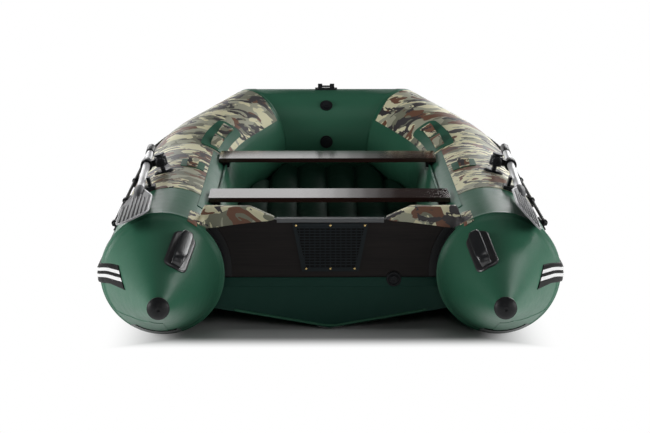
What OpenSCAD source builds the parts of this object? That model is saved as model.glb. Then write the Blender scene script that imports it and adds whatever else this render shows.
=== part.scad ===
// Inflatable boat with a plank transom, two benches and two oars.
// Frame: +Y to the bow, +X to starboard, +Z up, millimetres.

/* [Tubes] */
// diameter of the buoyancy tubes
tube_d = 420; // [412:1:428]
// distance of each side tube's axis from the centre line
tube_x = 580; // [572:1:590]
// straight length of the side tubes, from the cone seam to the bow's upward kink
side_len = 1530; // [1520:1:1560]
// upward angle of the bow
bow_rise = 8.2; // [7:0.1:9]
// radius of the tube axis in the shoulder bend
shoulder_r = 1084; // [1060:1:1110]
// angle of the shoulder bend
shoulder_a = 24.5; // [23:0.1:26]
// straight length between the shoulder bend and the bow seam
shoulder_len = 400; // [385:1:415]
// length of the tail cones
cone_len = 500; // [480:1:520]
// inward angle of the tail cones
cone_in = 2.6; // [1.5:0.1:3.5]
// radius of the tail cone's cut end
cone_end_r = 34; // [30:0.5:38]
// radius of the rubber cap on each cone
cap_r = 37; // [35:0.5:42]
// depth of the rubber cap
cap_h = 26; // [22:0.5:30]

/* [Tube fittings] */
// thickness of the protective strips under tubes and keel
strip_t = 5; // [4:0.5:6]
// height of the rub rail
rail_h = 88; // [80:1:96]
// thickness of the rub rail
rail_t = 16; // [12:0.5:20]
// distance of the rub rail's middle below the tube axis
rail_drop = 18; // [8:1:28]
// run of the rub rail onto the tail cone
rail_tail = 170; // [140:1:200]
// thickness of the patterned panels
panel_t = 2; // [1.5:0.1:3]
// distance of the patterned panels from the cone seam
panel_y = 500; // [470:1:530]
// thickness of the carry handle patches
patch_t = 3; // [2:0.1:4]
// width of the carry straps
strap_w = 40; // [34:1:46]
// thickness of the carry straps
strap_t = 3.5; // [3:0.1:5]
// length of a cone handle
handle_l = 214; // [196:1:230]
// width of a cone handle
handle_w = 78; // [70:1:86]
// height of a cone handle's grip
handle_h = 32; // [28:0.5:38]
// diameter of the lifeline
rope_d = 11; // [9:0.5:13]
// angle of the lifeline around the tube, from the top outwards
rope_a = 62; // [60:0.5:64]
// distance between lifeline eyelets
eyelet_step = 430; // [410:1:440]

/* [Bottom and transom] */
// rise of the hull bottom from keel to tube
deadrise = 10; // [9:0.1:11]
// height of the floor's top over the ground
floor_z = 150; // [142:1:156]
// number of beams in the inflated floor
floor_beams = 6; // [5:1:7]
// distance of the transom's outer face from the cone seam
transom_y = 70; // [62:1:80]
// thickness of the transom board
transom_t = 30; // [26:1:34]
// height of the transom's lowest top edge
transom_z = 390; // [382:1:396]
// width of the transom's low middle
transom_low_w = 380; // [372:1:390]
// height of the transom's side ears
ear_z = 430; // [424:1:436]
// height of the rear skin on the transom
skin_z = 186; // [180:1:192]
// width of the motor plate at the top
plate_w = 264; // [256:1:272]
// width of the motor plate at the bottom
plate_low_w = 198; // [190:1:206]
// height of the motor plate
plate_h = 170; // [164:1:176]
// thickness of the motor plate
plate_t = 7; // [6:0.5:9]
// radius of the drain valve's flange
drain_r = 26; // [23:0.5:29]

/* [Benches] */
// length of a bench
bench_l = 884; // [876:1:890]
// depth of a bench
bench_d = 187; // [178:1:196]
// thickness of a bench
bench_t = 17; // [15:0.5:19]
// height of the bench top
bench_z = 396; // [395:0.5:398]
// distance of the rear bench from the cone seam
rear_bench_y = 449; // [440:1:460]
// distance of the front bench from the bow's kink
front_bench_gap = 29; // [20:1:40]
// radius of a bench's corners
bench_corner = 6; // [4:0.5:12]
// diameter of the bar that the bench hangers ride on
track_d = 9; // [8:0.5:10]
// gap between a hanger and its bar
hanger_gap = 1; // [0.8:0.1:1.4]

/* [Oars] */
// distance of the oarlock from the cone seam
lock_y = 860; // [845:1:875]
// angle of the oarlock around the tube, from the top outwards
lock_a = 14.5; // [13:0.5:16]
// height of the oar's axis over the tube, at the oarlock
lock_h = 46; // [44:0.5:50]
// radius of the oarlock pin
pin_r = 9; // [8:0.5:10]
// gap between the oarlock pin and its hub
pin_gap = 0.8; // [0.6:0.1:1]
// distance between the oarlock pin and the oar's axis
oar_off = 56; // [54:0.5:60]
// upward angle of the stowed oar
oar_pitch = 1.5; // [1.3:0.1:1.7]
// inward angle of the stowed oar's blade
oar_yaw = 1.2; // [0.9:0.1:1.5]
// distance from the oarlock to the end of the grip
oar_fore = 360; // [345:1:375]
// distance from the oarlock to the tip of the blade
oar_aft = 975; // [955:1:990]
// diameter of the oar's shaft
shaft_d = 28; // [26:0.5:30]
// width of the oar's blade
blade_w = 124; // [118:1:130]
// length of the oar's blade
blade_l = 470; // [455:1:485]
// roll of the port blade
port_roll = 10; // [6:1:14]
// roll of the starboard blade
starboard_roll = 33; // [26:1:34]

/* [Hidden] */
$fn = 72;
fine = 240;
tube_r = tube_d / 2;
tube_z = tube_r + strip_t;
big = 3000;
ext = 260;
// run past the kink before it is cut, along the side tube and around the bend
lead = 40;
lead_a = 3;
// overlap where runs of one piece meet
lap = 0.05;
// slit where runs of one piece end at a seam
slit = 0.4;
// bend end and bow seam in the plane of the bow
bend_x = tube_x - shoulder_r * (1 - cos(shoulder_a));
bend_y = shoulder_r * sin(shoulder_a);
seam_x = bend_x - shoulder_len * sin(shoulder_a);
seam_y = bend_y + shoulder_len * cos(shoulder_a);
seam_a = (shoulder_a + 90) / 2;
bow_l = seam_y * cos(bow_rise);
// overall length and the place of the cone seam
aft_len = cone_len * cos(cone_in) + cap_h;
fore_len = side_len + bow_l + tube_r + rail_t;
base_y = round(5 * (aft_len - fore_len)) / 10;
kink_y = base_y + side_len;
front_bench_y = side_len - front_bench_gap - bench_d;
cone_k = atan((tube_r - cone_end_r) / cone_len);
black = [0.05, 0.055, 0.06];
green = [0.06, 0.2, 0.13];
camo = [0.5, 0.45, 0.33];
wood = [0.12, 0.07, 0.06];
grey = [0.5, 0.5, 0.52];

// ring sector around the tube axis, angles from the top outwards
module sector(ri, ro, a0, a1) {
  intersection() {
    difference() {
      circle(r = ro, $fn = fine);
      circle(r = ri, $fn = fine);
    }
    polygon(concat([[0, 0]], [for (i = [0:6]) let(a = a0 + (a1 - a0) * i / 6) 2 * ro * [sin(a), cos(a)]]));
  }
}

module rrect(w, l, r) {
  square([w - 2 * r, l], center = true);
  square([w, l - 2 * r], center = true);
  for (x = [-1, 1], y = [-1, 1])
    translate([x * (w / 2 - r), y * (l / 2 - r)]) circle(r = r);
}

module both() {
  children();
  mirror([1, 0, 0]) children();
}

// profile drawn along the straight side tube, distances from the cone seam
module side_run(y0, y1) {
  translate([tube_x, base_y + y1, tube_z]) rotate([90, 0, 0]) linear_extrude(y1 - y0) children();
}

module aft_of_kink(over = -slit) {
  translate([0, kink_y + over, tube_z]) rotate([bow_rise / 2, 0, 0]) translate([-big, -2 * big, -big]) cube(2 * big);
}

module fore() {
  translate([0, kink_y, tube_z]) rotate([bow_rise, 0, 0]) children();
}

module side_to_kink(y0, over = -slit) {
  intersection() {
    side_run(y0, side_len + lead) children();
    aft_of_kink(over);
  }
}

module fore_bend(a0, a1) {
  fore() translate([tube_x - shoulder_r, 0, 0]) rotate([0, 0, a0])
    rotate_extrude(angle = a1 - a0, $fn = fine) translate([shoulder_r, 0]) children();
}

module fore_of_kink() {
  rotate([-bow_rise / 2, 0, 0]) translate([-big, 0, -big]) cube(2 * big);
}

// profile drawn around the shoulder bend, cut off at the kink
module kink_bend() {
  intersection() {
    fore_bend(-lead_a, shoulder_a) children();
    fore() fore_of_kink();
  }
}

module seam_half(aft, over = 0) {
  translate([seam_x, seam_y, 0]) rotate([0, 0, seam_a]) translate([-big, aft ? -2 * big : -over, -big]) cube(2 * big);
}

module fore_quarter(gap = slit) {
  fore() intersection() {
    translate([bend_x, bend_y, 0]) rotate([0, 0, shoulder_a]) translate([0, shoulder_len + ext, 0])
      rotate([90, 0, 0]) linear_extrude(shoulder_len + ext - gap) children();
    seam_half(true);
  }
}

module fore_bow(over = -slit) {
  fore() intersection() {
    translate([-seam_x - ext, seam_y, 0]) rotate([90, 0, 90]) linear_extrude(2 * (seam_x + ext)) children();
    seam_half(false, over);
    mirror([1, 0, 0]) seam_half(false, over);
  }
}

module starboard_tube() color(green) side_to_kink(0, 0) circle(r = tube_r, $fn = fine);
module port_tube() mirror([1, 0, 0]) starboard_tube();
module starboard_shoulder() color(green) kink_bend() circle(r = tube_r, $fn = fine);
module port_shoulder() mirror([1, 0, 0]) starboard_shoulder();
module starboard_quarter() color(green) fore_quarter(0) circle(r = tube_r, $fn = fine);
module port_quarter() mirror([1, 0, 0]) starboard_quarter();

module bow_tube() color(green) fore_bow(0) circle(r = tube_r, $fn = fine);

// straight cylinders along the bow's tubes, to cut the bottom back to their skin
gores = 3;
module bow_cut() {
  arc = [for (i = [0:gores]) let(a = shoulder_a * i / gores)
    [tube_x - shoulder_r * (1 - cos(a)), shoulder_r * sin(a)]];
  translate([tube_x, -2 * lead, 0]) rotate([-90, 0, 0]) cylinder(r = tube_r, h = 2.5 * lead, $fn = fine);
  for (i = [0:gores - 1]) {
    step = arc[i + 1] - arc[i];
    translate([arc[i][0], arc[i][1], 0]) rotate([0, 0, atan2(step[1], step[0]) - 90]) translate([0, -15, 0])
      rotate([-90, 0, 0]) cylinder(r = tube_r, h = norm(step) + 30, $fn = fine);
  }
  translate([bend_x, bend_y, 0]) rotate([0, 0, shoulder_a]) translate([0, -15, 0]) rotate([-90, 0, 0])
    cylinder(r = tube_r, h = shoulder_len + ext, $fn = fine);
}

// frame of the tail cone: local z runs aft along the cone's axis, local y is up
module cone_frame() {
  translate([tube_x, base_y, tube_z]) rotate([0, 0, -cone_in]) rotate([90, 0, 0]) children();
}

module cone_body(grow = 0) {
  cone_frame() {
    cylinder(r1 = tube_r + grow, r2 = cone_end_r + grow, h = cone_len);
    translate([0, 0, -20]) cylinder(r = tube_r + grow, h = 20);
  }
}

module cone() {
  color(green) intersection() {
    cone_body();
    translate([-big, base_y - 2 * big, -big]) cube(2 * big);
  }
}
module starboard_cone() cone();
module port_cone() mirror([1, 0, 0]) cone();

module cone_caps() {
  color(black) both() cone_frame() translate([0, 0, cone_len]) rotate_extrude() difference() {
    union() {
      square([cap_r, cap_h / 3]);
      intersection() {
        translate([0, cap_h - cap_r * 1.25]) circle(r = cap_r * 1.25);
        square([cap_r, cap_h]);
      }
    }
    translate([0, cap_h + 5]) circle(r = 9);
    translate([-cap_r, 0]) square([cap_r, cap_h * 2]);
  }
}

handle_t = 200;
grip_gap = handle_l - 70;
handle_a = 29;
// frame on the cone's skin: local z points away from the skin, local y runs along the cone
module handle_frame() {
  cone_frame() rotate([0, 0, handle_a]) translate([0, tube_r - handle_t * tan(cone_k), handle_t])
    rotate([cone_k - 90, 0, 0]) children();
}

module cone_handles() {
  color(black) both() {
    difference() {
      handle_frame() {
        translate([0, 0, -8]) linear_extrude(13) rrect(handle_w, handle_l, 24);
        translate([-17, 0, 4.9]) rotate([90, 0, 90]) linear_extrude(34) difference() {
          intersection() {
            rrect(handle_l - 26, 2 * handle_h, handle_h - 1);
            translate([-handle_l, 0]) square([2 * handle_l, handle_h]);
          }
          polygon([[-grip_gap / 2, 0], [grip_gap / 2, 0], [grip_gap / 2 - 14, handle_h - 10], [14 - grip_gap / 2, handle_h - 10]]);
        }
      }
      cone_body();
    }
  }
}

// raised bands along the rub rail
band_w = 10;
band_t = 3;
band_off = 13;
module rail_profile() {
  difference() {
    union() {
      intersection() {
        circle(r = tube_r + rail_t - band_t, $fn = fine);
        translate([0, -rail_drop - rail_h / 2]) square([2 * tube_r, rail_h]);
      }
      for (s = [-1, 1]) intersection() {
        circle(r = tube_r + rail_t, $fn = fine);
        translate([0, s * band_off - rail_drop - band_w / 2]) square([2 * tube_r, band_w]);
      }
    }
    circle(r = tube_r, $fn = fine);
  }
}

module tail_slab(h, z) {
  translate([tube_x, base_y - rail_tail, tube_z - rail_drop + z - h / 2]) cube([big, rail_tail - slit, h]);
}

module rub_rail() {
  color(black) both() {
    side_to_kink(0) rail_profile();
    kink_bend() rail_profile();
    fore_quarter() rail_profile();
    difference() {
      union() {
        intersection() {
          cone_body(rail_t - band_t);
          tail_slab(rail_h, 0);
        }
        for (s = [-1, 1]) intersection() {
          cone_body(rail_t);
          tail_slab(band_w, s * band_off);
        }
      }
      cone_body();
      translate([0, base_y - rail_tail, tube_z - rail_drop - rail_h / 2]) rotate([-22, 0, 0])
        translate([0, -big, -rail_h]) cube([big, big, 4 * rail_h]);
    }
  }
  color(black) fore_bow() rail_profile();
}

module bottom_strips() {
  color(black) both() {
    side_to_kink(0) sector(tube_r, tube_r + strip_t, 148, 198);
    kink_bend() sector(tube_r, tube_r + strip_t, 148, 198);
  }
}

// reach of the bottom's sides, into the tubes that cut them back
vee_w = tube_x - 140;
vee_top = floor_z - 60;
module vee(z0, z1) {
  polygon([[-vee_w, z0 + vee_w * tan(deadrise)], [0, z0], [vee_w, z0 + vee_w * tan(deadrise)], [vee_w, z1], [-vee_w, z1]]);
}

// ground plan in the plane of the bow, at a distance inside the tube axes
module fore_plan(inset, reach) {
  far_x = bend_x - inset * cos(shoulder_a);
  far_y = bend_y - inset * sin(shoulder_a);
  half = [[tube_x - inset, -lead], for (i = [0:4]) let(a = shoulder_a * i / 4, r = shoulder_r - inset)
    [tube_x - shoulder_r + r * cos(a), r * sin(a)],
    [far_x - (reach - far_y) * tan(shoulder_a), reach]];
  polygon(concat(half, [for (i = [len(half) - 1:-1:0]) [-half[i][0], half[i][1]]]));
}

module hull_bottom() {
  color(green) {
    difference() {
      intersection() {
        translate([0, kink_y + lead, 0]) rotate([90, 0, 0])
          linear_extrude(side_len + lead - transom_y) vee(strip_t, vee_top);
        aft_of_kink();
      }
      both() side_run(0, side_len + 2 * lead) circle(r = tube_r, $fn = fine);
    }
    fore() difference() {
      intersection() {
        translate([0, seam_y - 70, -tube_z]) rotate([90, 0, 0])
          linear_extrude(seam_y - 70 + lead) vee(strip_t, vee_top);
        translate([0, 0, -big]) linear_extrude(2 * big) fore_plan(60, seam_y);
        fore_of_kink();
      }
      both() bow_cut();
      translate([-big / 2, seam_y, 0]) rotate([0, 90, 0]) cylinder(r = tube_r, h = big, $fn = fine);
    }
  }
}

module keel_profile() {
  difference() {
    polygon([[-45, 45 * tan(deadrise)], [0, 0], [45, 45 * tan(deadrise)], [45, 45 * tan(deadrise) + strip_t],
      [0, strip_t], [-45, 45 * tan(deadrise) + strip_t]]);
  }
}

module keel_strip() {
  color(black) {
    intersection() {
      translate([0, kink_y + lead, 0]) rotate([90, 0, 0]) linear_extrude(side_len + lead - transom_y) keel_profile();
      aft_of_kink();
    }
    fore() intersection() {
      translate([0, seam_y - 90, -tube_z]) rotate([90, 0, 0]) linear_extrude(seam_y - 90 + lead) keel_profile();
      fore_of_kink();
    }
  }
}

// distance from the tube axis to the floor's edge
floor_in = sqrt(tube_r * tube_r - (tube_z - floor_z) * (tube_z - floor_z)) + 2;
beam_w = 2 * (tube_x - floor_in) / floor_beams;
module floor_profile() {
  for (i = [0:floor_beams - 1]) translate([(i - (floor_beams - 1) / 2) * beam_w, 0]) intersection() {
    translate([-beam_w / 2 - lap, 0]) square([beam_w + 2 * lap, floor_z - vee_top]);
    translate([0, floor_z - vee_top - beam_w * 0.8]) circle(r = beam_w * 0.8);
  }
}

module floor_beams_deck() {
  color(green) {
    intersection() {
      translate([0, kink_y + lead, vee_top]) rotate([90, 0, 0])
        linear_extrude(side_len + lead - transom_y - transom_t) floor_profile();
      aft_of_kink();
    }
    fore() intersection() {
      translate([0, seam_y, vee_top - tube_z]) rotate([90, 0, 0]) linear_extrude(seam_y + lead) floor_profile();
      translate([0, 0, -big]) linear_extrude(2 * big) fore_plan(floor_in, seam_y - floor_in - 10);
      fore_of_kink();
    }
  }
}

// reach of the transom's ears and run of their slopes
ear_x = tube_x - 150;
ear_run = 90;
module transom_outline(z0) {
  polygon([[-ear_x, z0], [ear_x, z0], [ear_x, ear_z], [transom_low_w / 2 + ear_run, ear_z], [transom_low_w / 2, transom_z],
    [-transom_low_w / 2, transom_z], [-transom_low_w / 2 - ear_run, ear_z], [-ear_x, ear_z]]);
}

module transom() {
  color([0.1, 0.085, 0.08]) difference() {
    translate([0, base_y + transom_y + transom_t, 0]) rotate([90, 0, 0]) linear_extrude(transom_t)
      transom_outline(vee_top);
    both() side_run(0, 300) circle(r = tube_r, $fn = fine);
  }
}

// rubber channels that hold the plank's ends: cheeks beside the plank and feet on the tubes
holder_w = 27;
holder_t = 7;
foot_l = 34;
foot_t = 3;
holder_low_a = 96;
holder_high_a = 45.5;
module transom_holders() {
  color(black) both() difference() {
    union() {
      side_run(transom_y - holder_t, transom_y + transom_t + holder_t)
        sector(tube_r + skin_gap, tube_r + holder_w, -holder_low_a, -holder_high_a);
      side_run(transom_y - holder_t - foot_l, transom_y + transom_t + holder_t + foot_l)
        sector(tube_r + skin_gap, tube_r + foot_t, -holder_low_a, -holder_high_a);
    }
    side_run(transom_y, transom_y + transom_t) circle(r = tube_r + 2 * holder_w, $fn = fine);
    translate([-big, base_y - big, transom_z - 20]) cube(2 * big);
  }
}

module transom_trim() {
  color(grey) translate([-transom_low_w / 2 + 4, base_y + transom_y, 0]) rotate([90, 0, 90])
    linear_extrude(transom_low_w - 8) difference() {
      translate([-3, transom_z - 10]) square([transom_t + 6, 13]);
      translate([0, transom_z - 20]) square([transom_t, 20]);
    }
}

module plate_outline(inset) {
  polygon([[-plate_low_w / 2 + inset, inset], [plate_low_w / 2 - inset, inset],
    [plate_w / 2 - inset, plate_h - inset], [-plate_w / 2 + inset, plate_h - inset]]);
}

plate_z = transom_z - 12 - plate_h;
// rim of the motor plate, depth of its field and pitch of the ridges
plate_rim = 14;
plate_field = 3;
ridge_w = 3;
ridge_x = 18;
ridge_z = 10;
module plate_ridges() {
  columns = floor((plate_w / 2 - plate_rim) / ridge_x);
  rows = floor((plate_h - 2 * plate_rim) / ridge_z);
  intersection() {
    plate_outline(plate_rim - 0.5);
    union() {
      for (i = [-columns:columns]) translate([i * ridge_x - ridge_w / 2, 0]) square([ridge_w, plate_h]);
      for (i = [1:rows]) translate([-plate_w / 2, plate_rim + i * ridge_z - ridge_w / 2]) square([plate_w, ridge_w]);
    }
  }
}

module motor_plate() {
  color(black) translate([0, base_y + transom_y, plate_z]) rotate([90, 0, 0]) {
    linear_extrude(plate_t - plate_field) plate_outline(0);
    linear_extrude(plate_t) difference() {
      plate_outline(0);
      plate_outline(plate_rim);
    }
    linear_extrude(plate_t - 0.8) plate_ridges();
  }
}

module rear_skin() {
  color(green) difference() {
    translate([0, base_y + transom_y, 0]) rotate([90, 0, 0]) linear_extrude(4) intersection() {
      vee(strip_t, skin_z);
      translate([-big, 0]) square([2 * big, skin_z]);
    }
    both() side_run(0, 300) circle(r = tube_r, $fn = fine);
    drain_body(1);
  }
}

drain_x = 221;
drain_z = 180;
module drain_body(grow) {
  translate([drain_x, base_y + transom_y, drain_z]) rotate([90, 0, 0]) translate([0, 0, -1])
    cylinder(r = drain_r + grow, h = 40);
}
module drain_valve() {
  color(black) translate([drain_x, base_y + transom_y, drain_z]) rotate([90, 0, 0]) rotate_extrude()
    polygon([[0, 0], [drain_r, 0], [drain_r, 7], [drain_r - 2, 9], [drain_r - 6, 9], [drain_r - 8, 6], [drain_r - 11, 6],
      [drain_r - 12, 13], [drain_r - 14, 14], [6, 14], [5, 12], [0, 12]]);
}

module transom_flaps() {
  color(camo) both() difference() {
    union() {
      translate([0, base_y + transom_y + transom_t + 4, 0]) rotate([90, 0, 0]) linear_extrude(transom_t + 8)
        polygon([[transom_low_w / 2 + 14, transom_z - 4], [transom_low_w / 2 + ear_run, transom_z - 8], [ear_x, transom_z - 14],
          [ear_x, ear_z + 4], [transom_low_w / 2 + ear_run - 2, ear_z + 4], [transom_low_w / 2 + 14, transom_z + 10]]);
      side_run(transom_y - 100, transom_y + 110) sector(tube_r, tube_r + 4, -44.5, -24);
    }
    translate([0, base_y + transom_y + transom_t, 0]) rotate([90, 0, 0]) linear_extrude(transom_t)
      transom_outline(vee_top);
    side_run(-200, 400) circle(r = tube_r, $fn = fine);
    cone_body();
  }
}

// edges of the patterned panels around the tube, and their glue line
panel_in_a = 30;
bow_panel_in_a = 53;
panel_out_a = 74;
skin_gap = 0.3;
module side_panels() {
  color(camo) both() {
    side_to_kink(panel_y) sector(tube_r + skin_gap, tube_r + panel_t, -panel_in_a, panel_out_a);
  }
}

module shoulder_panels() {
  color(camo) both() {
    kink_bend() sector(tube_r + skin_gap, tube_r + panel_t, -bow_panel_in_a, panel_out_a);
    fore_quarter() sector(tube_r + skin_gap, tube_r + panel_t, -bow_panel_in_a, panel_out_a);
  }
}

patch_r = tube_r + panel_t;
seat_patch_y = 955;
seat_patch_l = 150;
module carry_patches() {
  color(green) both() {
    fore_bend(1.1, 21) sector(patch_r, patch_r + patch_t, -46, -14);
    side_run(seat_patch_y, seat_patch_y + seat_patch_l) sector(patch_r, patch_r + patch_t, -26, -1);
  }
}

// strap arch: local y along the tube, local z away from the skin
module strap(l, h) {
  rad = (l * l / 4 + h * h) / (2 * h);
  translate([-strap_w / 2, 0, 0]) rotate([90, 0, 90]) linear_extrude(strap_w) intersection() {
    translate([0, h - rad]) difference() {
      circle(r = rad);
      circle(r = rad - strap_t);
    }
    translate([-l, 0]) square([2 * l, h + 1]);
  }
}

strap_seat = patch_r + patch_t;
module carry_straps() {
  color(camo) both() difference() {
    union() {
      for (a = [6.6, 15.2])
        fore() translate([tube_x - shoulder_r, 0, 0]) rotate([0, 0, a]) translate([shoulder_r, 0, 0])
          rotate([0, -30, 0]) translate([0, 0, strap_seat - 6]) strap(150, 34);
      translate([tube_x, base_y + seat_patch_y + seat_patch_l / 2, tube_z]) rotate([0, -13, 0]) translate([0, 0, strap_seat - 3]) strap(170, 26);
    }
    side_run(0, side_len) circle(r = strap_seat, $fn = fine);
    fore_bend(0, shoulder_a) circle(r = strap_seat, $fn = fine);
  }
}

rail_r = tube_r + 3;
// run of the seat rails and their edges around the tube
rails_y = 290;
rails_end = 35;
rails_low_a = 57;
rails_high_a = panel_in_a + 0.3;
track_a = 50;
track_x = tube_x - (rail_r + 2) * sin(track_a);
track_z = tube_z + (rail_r + 2) * cos(track_a) + 9;
module seat_rails() {
  color(green) both() {
    side_run(rails_y, side_len - rails_end) union() {
      sector(tube_r, rail_r, -rails_low_a, -rails_high_a);
      translate([track_x - tube_x, track_z - tube_z]) circle(d = track_d);
      difference() {
        translate([track_x - tube_x - 2, track_z - tube_z - 20]) square([4, 20]);
        circle(r = rail_r - 0.5);
      }
    }
  }
}

module bench(y) {
  color(wood) translate([0, base_y + y, bench_z - bench_t]) linear_extrude(bench_t)
    translate([0, bench_d / 2]) rrect(bench_l, bench_d, bench_corner);
}

module hangers(y) {
  color(black) both() translate([0, base_y + y + bench_d - 20, 0]) rotate([90, 0, 0])
    linear_extrude(bench_d - 40) difference() {
      translate([track_x - 14, track_z - track_d / 2 - 2]) square([24, bench_z - bench_t - track_z + track_d / 2 + 2]);
      translate([track_x, track_z]) circle(d = track_d + 2 * hanger_gap);
      translate([track_x - 2 - hanger_gap - 1, track_z - 30]) square([4 + 2 * hanger_gap + 2, 30]);
      translate([tube_x, tube_z]) circle(r = rail_r + 3);
    }
}

module rear_bench() bench(rear_bench_y);
module rear_bench_hangers() hangers(rear_bench_y);
module front_bench() bench(front_bench_y);
module front_bench_hangers() hangers(front_bench_y);

rope_r = tube_r + panel_t + 6 + rope_d / 2;
module rope_profile() {
  translate(rope_r * [sin(rope_a), cos(rope_a)]) circle(d = rope_d);
}

rope_y = 370;
module lifelines() {
  color(black) both() {
    side_to_kink(rope_y - 40) rope_profile();
    kink_bend() rope_profile();
  }
}

module eyelet(skin) {
  difference() {
    rotate([0, rope_a, 0]) {
      translate([0, 0, skin - 6]) linear_extrude(12) rrect(46, 62, 14);
      translate([0, 0, skin]) cylinder(r = 13, h = rope_r - skin);
      translate([0, 0, rope_r]) rotate([90, 0, 0]) cylinder(r = 11, h = 18, center = true);
    }
    translate([0, 100, 0]) rotate([90, 0, 0]) linear_extrude(200) circle(r = skin, $fn = fine);
    translate([0, 100, 0]) rotate([90, 0, 0]) linear_extrude(200) translate(rope_r * [sin(rope_a), cos(rope_a)])
      circle(d = rope_d + 1);
  }
}

module lifeline_eyelets() {
  color(black) both() for (i = [0:2])
    translate([tube_x, base_y + rope_y + i * eyelet_step, tube_z])
      eyelet(i == 0 ? tube_r : tube_r + panel_t);
}

// frame on the bow tube: local z away from the skin, angle from the top towards the stern
module bow_frame(a) {
  fore() translate([0, seam_y, 0]) rotate([a, 0, 0]) translate([0, 0, tube_r]) children();
}

module air_valves() {
  color(black) difference() {
    for (a = [34, 81]) bow_frame(a) {
      translate([0, 0, -4]) cylinder(r = 28, h = 8);
      translate([0, 0, 4]) cylinder(r = 20, h = 8);
      translate([0, 0, 12]) cylinder(r = 13, h = 4);
    }
    bow_tube();
  }
}

module bow_fairlead() {
  color(black) difference() {
    bow_frame(-12) {
      translate([0, 0, -10]) linear_extrude(16) rrect(100, 62, 16);
      for (x = [-1, 1]) translate([x * 27 - 10, 0, 5.9]) rotate([90, 0, 90]) linear_extrude(20) intersection() {
        translate([0, -8]) circle(r = 27);
        translate([-30, 0]) square([60, 30]);
      }
      translate([-30, 0, 13]) rotate([0, 90, 0]) cylinder(r = 4, h = 60);
    }
    bow_tube();
  }
}

// oarlock frame: origin on the pin at the oar's height, local z along the pin
module lock_frame() {
  translate([tube_x, base_y + lock_y, tube_z]) rotate([0, lock_a, 0]) translate([0, 0, tube_r + lock_h])
    rotate([oar_pitch, 0, 0]) children();
}

base_r = 38;
module oarlocks() {
  color(black) both() {
    difference() {
      lock_frame() translate([0, 0, -lock_h - 8]) {
        cylinder(r = base_r, h = 12);
        translate([0, 0, 12]) cylinder(r1 = base_r, r2 = base_r - 10, h = 6);
      }
      side_run(0, side_len) circle(r = tube_r + panel_t, $fn = fine);
    }
    lock_frame() {
      translate([0, 0, -lock_h + 9]) cylinder(r = pin_r, h = lock_h + 14);
      translate([0, 0, 21]) cylinder(r = 20, h = 8);
    }
  }
}

// oar frame: local y along the oar towards the grip, local z along the pin
module oar_frame() {
  lock_frame() rotate([0, 0, -oar_yaw]) translate([oar_off, 0, 0]) children();
}

module oar_rod(r, y0, y1) {
  oar_frame() translate([0, y1, 0]) rotate([90, 0, 0]) cylinder(r = r, h = y1 - y0);
}

grip_l = 130;
neck_y = blade_l - oar_aft;
module oar_shaft() color(grey) difference() {
  oar_rod(shaft_d / 2, neck_y - 60, oar_fore - grip_l);
  oar_rod(shaft_d / 2 - 2, neck_y - 60.01, oar_fore - grip_l + 0.01);
}

module oar_grip() color(black) {
  oar_rod(17, oar_fore - grip_l, oar_fore - 8);
  oar_rod(14, oar_fore - 8, oar_fore);
}

// knob of the dip bolt, facing aft from the hub
hub_r = 24;
knob_r = 19;
knob_h = 15;
module knob() {
  difference() {
    union() {
      cylinder(r = knob_r, h = knob_h - 4);
      translate([0, 0, knob_h - 4]) cylinder(r1 = knob_r, r2 = knob_r - 4, h = 4);
    }
    for (i = [0:9]) rotate([0, 0, 36 * i]) translate([knob_r + 1.6, 0, -1]) cylinder(r = 3.6, h = knob_h + 2);
    translate([0, 0, knob_h - 3]) cylinder(r = 8, h = 4);
  }
}

module oar_swivel() color(black) difference() {
  union() {
    lock_frame() translate([0, 0, -18]) cylinder(r = hub_r, h = 36);
    lock_frame() rotate([0, 0, -oar_yaw]) translate([0, -pin_r - pin_gap - 3, 0]) rotate([90, 0, 0]) {
      cylinder(r = 11, h = 16);
      translate([0, 0, hub_r - pin_r - pin_gap - 2]) knob();
    }
    lock_frame() rotate([0, 0, -oar_yaw]) translate([0, -14, -12]) cube([oar_off, 28, 24]);
    oar_rod(shaft_d / 2 + 9, -24, 24);
  }
  lock_frame() translate([0, 0, -40]) cylinder(r = pin_r + pin_gap, h = 80);
  oar_rod(shaft_d / 2, -60, 60);
}

// half outline of the blade from neck to tip, at a distance inside its edge
blade_cut = 30;
module blade_outline(inset = 0) {
  half = [[shaft_d / 2 + 5, 0], [blade_w / 2, -190], [blade_w / 2, -blade_l + blade_cut],
    [blade_w / 2 - blade_cut, -blade_l]];
  edge = [for (q = half) [q[0] - inset, max(q[1], -blade_l + inset)]];
  polygon(concat(edge, [for (i = [len(edge) - 1:-1:0]) [-edge[i][0], edge[i][1]]]));
}

module oar_blade(roll) color(grey) difference() {
  union() {
    oar_frame() translate([0, neck_y, 0]) rotate([0, roll, 0]) {
      translate([0, 0, -2]) linear_extrude(4) blade_outline();
      translate([0, 0, -3]) linear_extrude(6) difference() {
        blade_outline();
        blade_outline(5);
      }
      for (x = [-40:20:40]) translate([x - 2, -blade_l + 20, -6]) cube([4, blade_l - 230, 12]);
    }
    oar_rod(shaft_d / 2 + 4, neck_y - 70, neck_y + 30);
  }
  oar_rod(shaft_d / 2, neck_y - 60, neck_y + 60);
}

module starboard_oar_shaft() oar_shaft();
module starboard_oar_grip() oar_grip();
module starboard_oar_blade() oar_blade(starboard_roll);
module starboard_oar_swivel() oar_swivel();
module port_oar_shaft() mirror([1, 0, 0]) oar_shaft();
module port_oar_grip() mirror([1, 0, 0]) oar_grip();
module port_oar_blade() mirror([1, 0, 0]) oar_blade(port_roll);
module port_oar_swivel() mirror([1, 0, 0]) oar_swivel();

clip_y = 520;
clip_gap = 6;
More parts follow.
